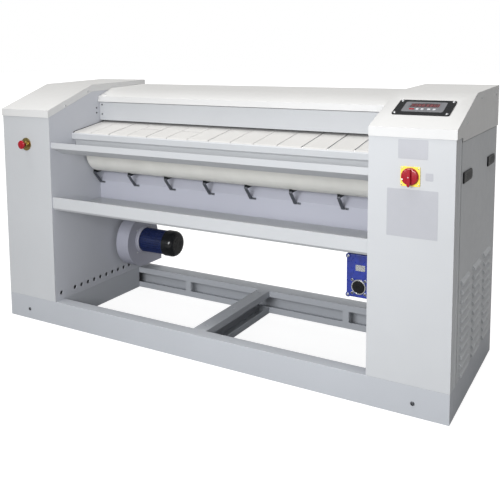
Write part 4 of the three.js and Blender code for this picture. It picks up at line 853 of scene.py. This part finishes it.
@dataclass
class ControlFascia:
    """Control fascia on the slope of the right lid, drawn flat and laid on the slope."""

    x: float = 915.0
    back: float = 151.0
    slope: float = math.atan2(106.0, 293.5)
    slope_foot: Spot = (-3.5, 1012.0)
    half_width: float = 102.0
    half_length: float = 62.0
    screw_inset: float = 10.0
    display_up: float = 14.0
    digit_pitch: float = 12.4
    digit_size: Triple = (7.6, 20.0, 1.8)
    digit_inset: float = 0.9
    keys: dict[str, Spot] = field(default_factory=lambda: {
        "stop_key": (-40, 18), "menu_key": (-20, 10), "slower_key": (-2, 10),
        "faster_key": (21, 10), "start_key": (40, 10)})

    @property
    def placement(self) -> Matrix:
        """Placement of the fascia's own frame on the slope, in millimetres."""
        height = self.slope_foot[1] + (self.back - self.slope_foot[0]) * math.tan(self.slope)
        return Matrix.Translation((self.x, self.back, height)) @ Matrix.Rotation(self.slope, 4, "X")

    def build(self) -> None:
        """Frame, inner plate, display with its bars, keys and corner screws."""
        case = Workpiece("fascia_frame", "frame", self.placement)
        rim = rounded_rectangle(0, 0, self.half_width, self.half_length, 9)
        case.prism(Axis.Z, rim, 0.3, 4.3, BLACK_PLASTIC, 0.9)
        inset = self.screw_inset
        for spot in corners(0, 0, self.half_width - inset, self.half_length - inset):
            screw(case, Axis.Z, spot, 4.3, 1, 5.0)
        case.prism(Axis.Z, rounded_rectangle(0, 1, 74, 42, 8), 4.1, 5.0, GREY_PLASTIC, 0.3)
        case.done("control_fascia")
        self.display()
        for node, (place, wide) in self.keys.items():
            self.key(node, place, wide)

    def display(self) -> None:
        """Tinted window with two groups of unlit digits."""
        window = Workpiece("display_pane", "frame", self.placement)
        middle = self.display_up - 2
        pane = rounded_rectangle(0, self.display_up, 55.7, 19.7, 3)
        window.prism(Axis.Z, pane, 0.8, 5.0, GREY_PLASTIC, 0.2)
        glass = rounded_rectangle(0, middle, 50, 14.5, 2)
        window.prism(Axis.Z, glass, 4.8, 5.5, DISPLAY_GLASS, 0.2)
        for place in range(8):
            self.digit(window, -47 + place * self.digit_pitch + (4 if place > 3 else 0), middle)
        window.done("display_window")

    def digit(self, window: Workpiece, u: float, v: float) -> None:
        """Seven unlit bars of one digit.

        Args:
            window: piece that the bars join.
            u: left side of the digit.
            v: its middle.
        """
        (wide, tall, bar), inset = self.digit_size, self.digit_inset
        foot = v - tall / 2
        bars = [
            (u + inset, foot + row * (tall - bar) / 2, wide - 2 * inset, bar) for row in range(3)]
        bars += [
            (u + column * (wide - bar), foot + row * tall / 2 + inset, bar, tall / 2 - 2 * inset)
            for column, row in product(range(2), range(2))]
        for left, low, width, length in bars:
            window.box((left, low, 5.4), (left + width, low + length, 5.75), DISPLAY_BARS, 0.0)

    def key(self, node: str, place: float, wide: float) -> None:
        """Cap of one key over its stem.

        Args:
            node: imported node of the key.
            place: its middle, from the middle of the fascia.
            wide: its width.
        """
        finish = STOP_RED if node == "stop_key" else PALE_KEY
        piece = Workpiece(f"{node}_cap", body_of(node), self.placement)
        piece.prism(Axis.Z, rounded_rectangle(place, -20, wide / 2, 5, 2.5), -5.7, 6.3, finish, 0.7)
        piece.done(node)


@dataclass
class BlankFilm:
    """Plain film on the front panel of the right column."""

    face: float = -0.25
    sheets: tuple[tuple[float, ...], ...] = (
        (922, 940, 51, 33), (922, 720, 88, 83), (979, 849.5, 13, 13))

    def build(self) -> None:
        """Two sheets and a small square, by their centres and half sizes."""
        piece = Workpiece("blank_film", "frame")
        for sheet in self.sheets:
            piece.prism(Axis.Y, rounded_rectangle(*sheet, 3), self.face, 0.2, BARE_FILM, 0.0)
        piece.done()


@dataclass
class Covers:
    """Hood, rear cover, front beam, nose panel and tray between the columns."""

    slope_foot: Spot = (334.0, 1060.0)
    slope_top: Spot = (430.0, 1097.0)
    screw_x: float = 735.0
    screw_back: float = 352.0

    def build(self) -> None:
        """Rounds the folded sheets and adds the hood's screws."""
        # The hood's lighter coat is painted top light.
        soften("hood", TOP_LIT_PAINT)
        for node in ("rear_cover", "nose_panel", "front_beam", "tray"):
            soften(node, CABINET_PAINT)
        self.hood_screws()
        dress("cable_gland", BLACK_PLASTIC)

    def hood_screws(self) -> None:
        """Screws near the ends of the hood's sloping front."""
        (foot_back, foot), (top_back, top) = self.slope_foot, self.slope_top
        lean = math.atan2(top - foot, top_back - foot_back)
        height = foot + (self.screw_back - foot_back) * math.tan(lean)
        for name, side in zip(("left", "right"), SIDES):
            place = Matrix.Translation((side * self.screw_x, self.screw_back, height))
            turn = place @ Matrix.Rotation(lean, 4, "X")
            piece = Workpiece(f"hood_screw_{name}", "frame", turn)
            screw(piece, Axis.Z, (0, 0), 0, 1, 4.0)
            piece.done()


@dataclass
class FingerGuard:
    """Swinging guard over the feed bands."""

    inner: float = 764.4
    lip: tuple[Spot, ...] = ((343.2, 940.5), (352, 940.5), (352, 943), (343.2, 943))
    screw_inset: float = 14.0
    screw_radius: float = 3.6
    screw_heights: Spot = (1018.0, 971.0)
    stop_back: float = 318.5
    stop_heights: Spot = (1003.0, 979.0)

    def build(self) -> None:
        """Guard plate with its end screws, a black lip under it, and the stop screws beside it."""
        soften("finger_guard", CABINET_PAINT)
        piece = Workpiece("guard_fittings", "guard")
        piece.prism(Axis.X, list(self.lip), -self.inner, self.inner, BLACK_PLASTIC, 0.4)
        stops = Workpiece("guard_stop_screws", "frame")
        for side in SIDES:
            x = side * (self.inner - self.screw_inset)
            for height in self.screw_heights:
                screw(piece, Axis.Y, (x, height), 343, -1, self.screw_radius, DARK_STEEL)
            for height in self.stop_heights:
                screw(stops, Axis.X, (self.stop_back, height), side * (self.inner + 0.6), -side,
                      self.screw_radius, DARK_STEEL)
        piece.done()
        stops.done()


@dataclass
class FeedBands:
    """Endless bands between the nose roller and the drive roller."""

    count: int = 14
    inner: float = 765.0
    end_gap: float = 2.0
    seam: float = 0.3
    outside: float = 2.3
    nose: Triple = (163.0, 891.0, 9.0)
    drive: Triple = (395.0, 925.0, 12.0)
    gaps: tuple[float, ...] = (
        5.5, 3.0, 6.0, 2.6, 5.0, 3.2, 2.6, 5.0, 3.0, 2.6, 3.4, 6.0, 7.0, 6.5, 6.0)
    hem_rise: float = 0.5
    hem_steps: tuple[float, ...] = (0.0, 0.6, 5.0, 5.6)
    spliced: tuple[int, ...] = (3, 5)
    splice_along: Spot = (104.0, 107.0)
    stitch: float = 5.0
    stitch_pitch: float = 8.5
    # How far the black end plates, a painted shadow, stand out past the belts.
    shadow_plate_proud: float = 1.2

    def loop(self, extra: float) -> Outline:
        """Outline of a belt on both rollers.

        Args:
            extra: distance outside the rollers.

        Returns:
            Points round the nose roller, then round the drive roller.
        """
        (u0, v0, r0), (u1, v1, r1) = self.nose, self.drive
        angle = math.atan2(v1 - v0, u1 - u0)
        lean = math.asin((r1 - r0) / math.hypot(u1 - u0, v1 - v0))
        top, bottom = angle + lean + math.pi / 2, angle - lean - math.pi / 2
        turns = ((self.nose, top, bottom + math.tau), (self.drive, bottom, top))
        outline = []
        for (u, v, r), start, end in turns:
            for i in range(BELT_STEPS + 1):
                turn = start + (end - start) * i / BELT_STEPS
                outline.append((u + (r + extra) * math.cos(turn), v + (r + extra) * math.sin(turn)))
        return outline

    def run_point(self, along: float, up: float) -> Spot:
        """A point over the upper run.

        Args:
            along: distance from the nose roller.
            up: height over the belt.

        Returns:
            Its place.
        """
        loop = self.loop(self.outside)
        start, end = loop[0], loop[-1]
        length = math.dist(start, end)
        du, dv = (end[0] - start[0]) / length, (end[1] - start[1]) / length
        return start[0] + du * along - dv * up, start[1] + dv * along + du * up

    def belt(self, piece: Workpiece, low: float, high: float) -> None:
        """One woven belt with thicker hems along its edges.

        Args:
            piece: piece that the belt joins.
            low: its left edge.
            high: its right edge.
        """
        thin, thick = self.loop(self.outside - self.hem_rise), self.loop(self.outside)
        hem = list(zip(self.hem_steps, (thin, thick, thick, thin)))
        sections = [(low + step, loop) for step, loop in hem]
        sections += [(high - step, loop) for step, loop in reversed(hem)]
        shape = bmesh.new()
        outer = [piece.ring(shape, Axis.X, loop, x) for x, loop in sections]
        inner = [piece.ring(shape, Axis.X, self.loop(self.seam), x) for x in (low, high)]
        rows = [inner[0], *outer, inner[1], inner[0]]
        for first, second in zip(rows, rows[1:]):
            stitch(shape, first, second)
        piece.merge(shape, BAND_CLOTH, 0.0)

    def splice(self, piece: Workpiece, low: float, high: float) -> None:
        """Row of stitches across a belt where its ends meet.

        Args:
            piece: piece that the stitches join.
            low: left edge of the belt.
            high: right edge of the belt.
        """
        near, far = self.splice_along
        places = ((near, 0), (far, 0), (far, 0.5), (near, 0.5))
        outline = [self.run_point(*place) for place in places]
        x = low + 6
        while x < high - 10:
            piece.prism(Axis.X, outline, x, x + self.stitch, BAND_SEAM, 0.0)
            x += self.stitch_pitch

    def build(self) -> None:
        """Belts with their splices, black end plates that paint the shadow in the gaps beside the
        cheeks, the bed under them and the two rollers.
        """
        half = self.inner - self.end_gap
        pitch = 2 * half / self.count
        piece = Workpiece("feed_belts", "frame")
        for i in range(self.count):
            low = -half + i * pitch + self.gaps[i] / 2
            high = -half + (i + 1) * pitch - self.gaps[i + 1] / 2
            self.belt(piece, low, high)
            if i in self.spliced:
                self.splice(piece, low, high)
        piece.done("feed_bands", sharp=25.0)
        # Black plates at the belts' ends: painted shadow in the gaps between the belts and the
        # cheeks.
        shadow_plates = Workpiece("band_end_shadow_plates", "frame")
        for side in SIDES:
            shadow_plates.prism(Axis.X, self.loop(self.outside + self.shadow_plate_proud),
                       side * (self.inner - 0.2), side * (self.inner - 1.8), BLACK_PLASTIC, 0.2)
        shadow_plates.done()
        dress("feed_bed", BRIGHT_STEEL)
        for node in ("nose_roller", "band_drive_roller"):
            dress(node, TURNED_STEEL)


@dataclass
class PressRoll:
    """Padded roll with its journals."""

    centre: Spot = (325.0, 793.0)
    radius: float = 102.0
    bore: float = 93.9
    half: float = 756.0
    stations: int = 24
    sag: float = 0.25
    end: tuple[Spot, ...] = ((3.0, 0.0), (0.8, 1.2), (0.2, 4.0))

    def build(self) -> None:
        """Wrapped cover with rolled ends over the steel core."""
        profile = [(self.bore, -self.half)]
        profile += [(self.radius - low, -self.half + step) for low, step in self.end]
        for i in range(1, self.stations):
            sag = self.sag * math.sin(i * 2.4)
            x = -self.half + 2 * self.half * i / self.stations
            profile.append((self.radius - 0.3 + sag, x))
        profile += [(self.radius - low, self.half - step) for low, step in reversed(self.end)]
        profile.append((self.bore, self.half))
        cover = Workpiece("roll_wrap", "roll")
        cover.revolve(Axis.X, self.centre, profile, ROLL_CLOTH, 96, ring=True)
        cover.done("roll_cover")
        dress("roll_core", TURNED_STEEL)


@dataclass
class HeatedChest:
    """Curved chest behind the roll with its heating elements."""

    def build(self) -> None:
        """Cast chest and its heating elements."""
        soften("heated_chest", CAST_ALUMINIUM, 1.0)
        dress("heating_elements", DARK_STEEL)


@dataclass
class Stripper:
    """Stripper fingers on a bar behind the guide plate."""

    count: int = 8
    inner: float = 765.0
    end: float = 9.0
    roll: Spot = (325.0, 793.0)
    reach: float = 102.8
    angles: tuple[int, ...] = (-75, -83, -91, -99, -108, -116)
    half_shoe: float = 6.0
    half_strap: float = 7.0
    foot: float = 628.4
    bar: tuple[Spot, Spot] = ((333.3, 623.8), (338.3, 637.6))

    def finger(self, piece: Workpiece, x: float) -> None:
        """One finger: black shoe under the roll, grey strap, and a foot with its tab.

        Args:
            piece: piece that the finger joins.
            x: its middle.
        """
        top = [polar(self.roll, self.reach, angle) for angle in self.angles]
        (tip, tip_height), front = top[0], top[-1][0]
        shoe = [*top, (front, 684), (front + 6, 684), (tip - 5, 688.7), (tip, tip_height - 2)]
        piece.prism(Axis.X, shoe, x - self.half_shoe, x + self.half_shoe, BLACK_PLASTIC, 0.4)
        strap = [(front - 0.2, 690), (front - 0.2, 683.6), (326, self.foot), (334, self.foot),
                 (334, 633), (330, 633), (front + 6, 684), (front + 6, 690)]
        piece.prism(Axis.X, strap, x - self.half_strap, x + self.half_strap, STRAP_STEEL, 0.4)
        end = min(x + 24, self.inner - 0.4)
        piece.box((x + 5, 326.2, self.foot), (end, 330.6, 637.0), STRAP_STEEL, 0.4)
        screw(piece, Axis.Y, (end - 8, 632.8), 326.2, -1, 2.4, DARK_STEEL)

    def build(self) -> None:
        """Bar, fingers and the guide plate that they pass through."""
        piece = Workpiece("stripper_fingers", "frame")
        half, last = self.inner - 0.3, self.inner - self.end
        low, high = self.bar
        piece.box((-half, *low), (half, *high), DARK_STEEL, 0.5)
        pitch = 2 * last / (self.count - 1)
        for i in range(self.count):
            self.finger(piece, -last + i * pitch)
        piece.done("stripper_comb")
        # The guide plate's darker, bluer coat is painted shade.
        soften("guide_plate", SHADE_TINTED_INNER_PAINT)


@dataclass
class RollDrive:
    """Worm gearbox, motor and chain beside the right column."""

    left: float = 588.0
    right: float = 722.0
    front: float = 250.0
    rear: float = 380.0
    bottom: float = 297.0
    top: float = 473.0
    pad_inset: float = 9.0
    ribs: int = 4
    rib_pitch: float = 27.0
    worm: Spot = (641.0, 342.0)
    output: Spot = (315.0, 410.0)
    plate: Spot = (647.0, 419.0)
    plate_screws: Spot = (630.0, 664.0)
    ear_reach: float = 38.0
    motor_radius: float = 55.0
    motor_length: float = 210.0
    motor_fins: int = 28

    def gearbox(self) -> None:
        """Cast housing with corner pads, ribs, a bolted cover and a bare plate."""
        piece = Workpiece("gearbox_housing", "frame")
        low, high = (self.left, self.front, self.bottom), (self.right, self.rear, self.top)
        piece.box(low, high, BLUE_ENAMEL, 5.0)
        face, inset = self.front, self.pad_inset
        pad = [(0, face - 3), (9, face - 3), (10, face - 1.5), (10, face + 8), (0, face + 8)]
        heights, sides = (self.bottom + inset, self.top - inset), (self.left + 8, self.right - 12)
        for height, x in product(heights, sides):
            piece.revolve(Axis.Y, (x, height), pad, BLUE_ENAMEL, 24)
            screw(piece, Axis.Y, (x, height), face - 3, -1, 4.6)
        for i in range(self.ribs):
            x = self.left + 22 + i * self.rib_pitch
            low, high = (x, face + 12, self.top - 2), (x + 5, self.rear - 12, self.top)
            piece.box(low, high, BLUE_ENAMEL, 0.8)
        self.cover(piece)
        piece.revolve(Axis.X, self.output, [
            (12.3, self.right - 1), (60, self.right - 1), (60, 762), (57, 764.7), (12.3, 764.7)],
            BLUE_ENAMEL, 64, ring=True)
        plate = rounded_rectangle(*self.plate, 20, 12, 1)
        piece.prism(Axis.Y, plate, face - 0.8, face + 1, BRIGHT_STEEL, 0.2)
        for x in self.plate_screws:
            screw(piece, Axis.Y, (x, self.plate[1]), face - 0.8, -1, 1.4)
        piece.done("worm_gearbox")

    def cover(self, piece: Workpiece) -> None:
        """Round black cover in a bright ring, held by four ears.

        Args:
            piece: piece that the cover joins.
        """
        face = self.front
        piece.revolve(Axis.Y, self.worm, [
            (26, face + 1), (31, face + 1), (31, face - 3.5), (29.5, face - 5), (26, face - 5)],
            BRIGHT_STEEL, 48, ring=True)
        piece.revolve(Axis.Y, self.worm, [
            (0, face + 1), (26, face + 1), (26, face - 4.5), (24, face - 6), (9, face - 6),
            (8, face - 4.6), (0, face - 4.6)], BLACK_PLASTIC, 48)
        for quarter in range(4):
            spot = polar(self.worm, self.ear_reach, 45 + 90 * quarter)
            piece.prism(Axis.Y, circle(*spot, 9, 20), face - 2.5, face + 1, BLUE_ENAMEL, 0.8)
            piece.prism(Axis.Y, circle(*spot, 5.8, 20), face - 3.3, face - 2, BRIGHT_STEEL, 0.2)
            screw(piece, Axis.Y, spot, face - 3.3, -1, 3.3, DARK_STEEL)

    def motor(self) -> None:
        """Finned motor body with an end bell."""
        piece = Workpiece("drive_motor_body", "frame")
        start, radius = self.rear + 0.3, self.motor_radius
        end = start + self.motor_length
        piece.revolve(Axis.Y, self.worm, [
            (0, start), (radius, start), (radius, start + 12), (radius - 7, start + 16),
            (radius - 7, end - 40), (radius, end - 38), (radius, end - 6), (radius - 5, end),
            (0, end)], MOTOR_BLUE, 64)
        piece.fins(Axis.Y, self.worm, self.motor_fins, (radius - 9, radius - 0.4),
                   (start + 10, end - 36), MOTOR_BLUE)
        piece.done("drive_motor")

    def build(self) -> None:
        """Gearbox, motor, sprockets and chain."""
        self.gearbox()
        self.motor()
        for node in ("gearbox_sprocket", "roll_sprocket", "band_sprocket", "drive_chain"):
            dress(node, DARK_STEEL)


@dataclass
class Blower:
    """Exhaust blower beside the left column."""

    centre: Spot = (545.0, 297.0)
    face: float = -667.0
    bolt_reach: float = 82.0
    motor_radius: float = 62.0
    motor_length: float = 156.0
    motor_fins: int = 30
    cowl_radius: float = 66.0
    cowl_length: float = 64.0
    cowl_dome: float = 30.0
    cowl_end: float = 40.0
    cowl_steps: int = 8
    cowl_rings: tuple[int, ...] = (12, 21, 30)

    def casing_bolts(self) -> None:
        """Four bolts on the casing's face, and the motor's seat."""
        piece = Workpiece("blower_fittings", "frame")
        face = self.face
        for quarter in range(4):
            spot = polar(self.centre, self.bolt_reach, 45 + 90 * quarter)
            screw(piece, Axis.X, spot, face, 1, 4.0)
        piece.revolve(Axis.X, self.centre, [
            (62.5, face - 0.5), (72, face - 0.5), (72, face + 4), (67, face + 6), (66, face + 14),
            (62.5, face + 14)], CASTING_PAINT, 64, ring=True)
        piece.done()

    def motor(self) -> None:
        """Finned motor body."""
        piece = Workpiece("blower_motor_body", "frame")
        start, radius = self.face + 0.3, self.motor_radius
        end = start + self.motor_length
        piece.revolve(Axis.X, self.centre, [
            (0, start), (radius, start), (radius, start + 10), (radius - 6, start + 13),
            (radius - 6, end - 10), (radius, end - 8), (radius, end), (0, end)], MOTOR_BLUE, 64)
        piece.fins(Axis.X, self.centre, self.motor_fins, (radius - 8, radius - 0.4),
                   (start + 8, end - 6), MOTOR_BLUE)
        piece.done("blower_motor")

    def cowl(self) -> None:
        """Fan cowl with a domed, ringed end."""
        piece = Workpiece("blower_cowl_shell", "frame")
        start = self.face + self.motor_length + 0.6
        end = start + self.cowl_length
        profile = [(0, start), (self.cowl_radius, start)]
        for i in range(self.cowl_steps + 1):
            angle = math.radians(90 * i / self.cowl_steps)
            profile.append((
                self.cowl_end + (self.cowl_radius - self.cowl_end) * math.cos(angle),
                end - self.cowl_dome * (1 - math.sin(angle)),
            ))
        piece.revolve(Axis.X, self.centre, [*profile, (0, end)], GLOSS_BLACK, 64)
        for middle in self.cowl_rings:
            ring = [(middle + u, end + v) for u, v in ((-1.6, -1), (1.6, -1), (1.6, 1), (-1.6, 1))]
            piece.revolve(Axis.X, self.centre, ring, GLOSS_BLACK, 48, ring=True)
        piece.done("blower_cowl")

    def build(self) -> None:
        """Casing, impeller, motor and cowl."""
        soften("blower_casing", CASTING_PAINT, 1.2)
        dress("blower_impeller", BRIGHT_STEEL)
        self.casing_bolts()
        self.motor()
        self.cowl()


# ------------------------------------------------------------------ the studio


@dataclass
class PhotoCamera:
    """Camera at the photograph's viewing angle."""

    position: Triple = (1.5856, -2.5965, 1.2580)
    heading: float = -29.818
    pitch: float = 6.210
    roll: float = -0.360
    lens: float = 49.590
    shift: float = -0.240

    clip: Spot = (0.05, 60.0)

    def build(self) -> None:
        """Makes the scene's camera."""
        yaw, dip, lean = (math.radians(a) for a in (self.heading, self.pitch, self.roll))
        ahead = math.cos(dip)
        forward = Vector((math.sin(yaw) * ahead, math.cos(yaw) * ahead, -math.sin(dip)))
        level = Vector((math.cos(yaw), -math.sin(yaw), 0.0))
        upright = level.cross(forward)
        right = math.cos(lean) * level + math.sin(lean) * upright
        up = math.cos(lean) * upright - math.sin(lean) * level
        data = bpy.data.cameras.new("photo_camera")
        data.lens = self.lens
        data.shift_y = self.shift
        data.clip_start, data.clip_end = self.clip
        camera = link("photo_camera", data)
        turn = Matrix((right, up, -forward)).transposed().to_4x4()
        camera.matrix_world = Matrix.Translation(self.position) @ turn
        bpy.context.scene.camera = camera


@dataclass(frozen=True)
class Softlight:
    """Distant soft light, wide enough that its shadows have no hard edge."""

    name: str
    toward: Triple
    strength: float
    spread: float
    colour: Triple

    def build(self) -> None:
        """Makes the light and turns it to shine from its direction."""
        data = bpy.data.lights.new(self.name, "SUN")
        data.energy = self.strength
        data.angle = math.radians(self.spread)
        data.color = self.colour
        light = link(self.name, data)
        light.rotation_euler = Vector(self.toward).to_track_quat("Z", "Y").to_euler()


@dataclass
class Studio:
    """Pale floor, white surroundings and soft lights."""

    surround: float = 0.30
    floor_half: float = 40.0
    floor_height: float = -0.0005
    floor_tones: Spot = (0.29, 0.31)
    floor_glow: float = 0.85
    lights: tuple[Softlight, ...] = (
        Softlight("overhead_light", (-0.15, -0.05, 1.0), 2.35, 40.0, (1.0, 0.985, 0.96)),
        Softlight("front_light", (-0.1, -1.0, 0.4), 0.3, 40.0, (0.97, 0.985, 1.0)),
        Softlight("side_light", (1.0, -0.3, 0.6), 0.45, 60.0, (0.98, 0.98, 1.0)),
    )
    softbox_place: Triple = (0.45, -3.0, 1.4)
    softbox_size: Spot = (1.4, 1.0)
    softbox_power: float = 70.0
    softbox_tilt: float = 78.0
    softbox_colour: Triple = (0.97, 0.98, 1.0)

    def softbox(self) -> None:
        """Panel in front of the opening that fills the space between the columns."""
        data = bpy.data.lights.new("softbox", "AREA")
        data.shape = "RECTANGLE"
        data.size, data.size_y = self.softbox_size
        data.energy = self.softbox_power
        data.color = self.softbox_colour
        light = link("softbox", data)
        light.location = self.softbox_place
        light.rotation_euler = (math.radians(self.softbox_tilt), 0.0, 0.0)

    def floor(self) -> None:
        """Plain pale floor that looks nearly as white as the surroundings."""
        mesh = bmesh.new()
        half = self.floor_half
        spots = [(-half, -half), (half, -half), (half, half), (-half, half)]
        mesh.faces.new([mesh.verts.new((x, y, self.floor_height)) for x, y in spots])
        data = bpy.data.meshes.new("floor")
        mesh.to_mesh(data)
        mesh.free()
        graph = Graph("floor_paper")
        graph.tint(graph.noise(0.6), *((tone, tone, tone) for tone in self.floor_tones))
        seen = graph.add("LightPath").outputs["Is Camera Ray"]
        glow = graph.add("Math", {"operation": "MULTIPLY"})
        graph.wire(seen, glow.inputs[0])
        glow.inputs[1].default_value = self.floor_glow
        graph.wire(glow.outputs["Value"], graph.shader.inputs["Emission Strength"])
        graph.set(Roughness=0.9, Emission_Color=(1.0, 1.0, 1.0, 1.0), Specular_IOR_Level=0.1)
        data.materials.append(graph.material)
        floor = link("floor", data)

    def world(self) -> None:
        """White surroundings that light the machine only gently."""
        world = bpy.data.worlds.new("studio")
        world.use_nodes = True
        tree = world.node_tree
        tree.nodes.clear()
        output = tree.nodes.new("ShaderNodeOutputWorld")
        mix = tree.nodes.new("ShaderNodeMixShader")
        path = tree.nodes.new("ShaderNodeLightPath")
        for place, strength in ((1, self.surround), (2, 1.0)):
            background = tree.nodes.new("ShaderNodeBackground")
            background.inputs["Color"].default_value = (1.0, 1.0, 1.0, 1.0)
            background.inputs["Strength"].default_value = strength
            tree.links.new(background.outputs["Background"], mix.inputs[place])
        tree.links.new(path.outputs["Is Camera Ray"], mix.inputs["Fac"])
        tree.links.new(mix.outputs["Shader"], output.inputs["Surface"])
        bpy.context.scene.world = world
        bpy.context.scene.view_settings.view_transform = "Standard"

    def build(self) -> None:
        """Floor, world and lights."""
        self.floor()
        self.world()
        self.softbox()
        for light in self.lights:
            light.build()


def main() -> None:
    """Builds the camera, every sub-assembly and the studio, in order."""
    logging.basicConfig(level=logging.INFO, format="%(name)s: %(message)s")
    PhotoCamera().build()
    assemblies = (
        BaseFrame(), Column(-1), Column(1), StopButton(), MainSwitch(), ControlFascia(),
        BlankFilm(), Covers(), FingerGuard(), FeedBands(), PressRoll(), HeatedChest(),
        Stripper(), RollDrive(), Blower(), Studio(),
    )
    for assembly in assemblies:
        LOG.info("building %s", type(assembly).__name__)
        assembly.build()


if __name__ == "__main__":
    main()
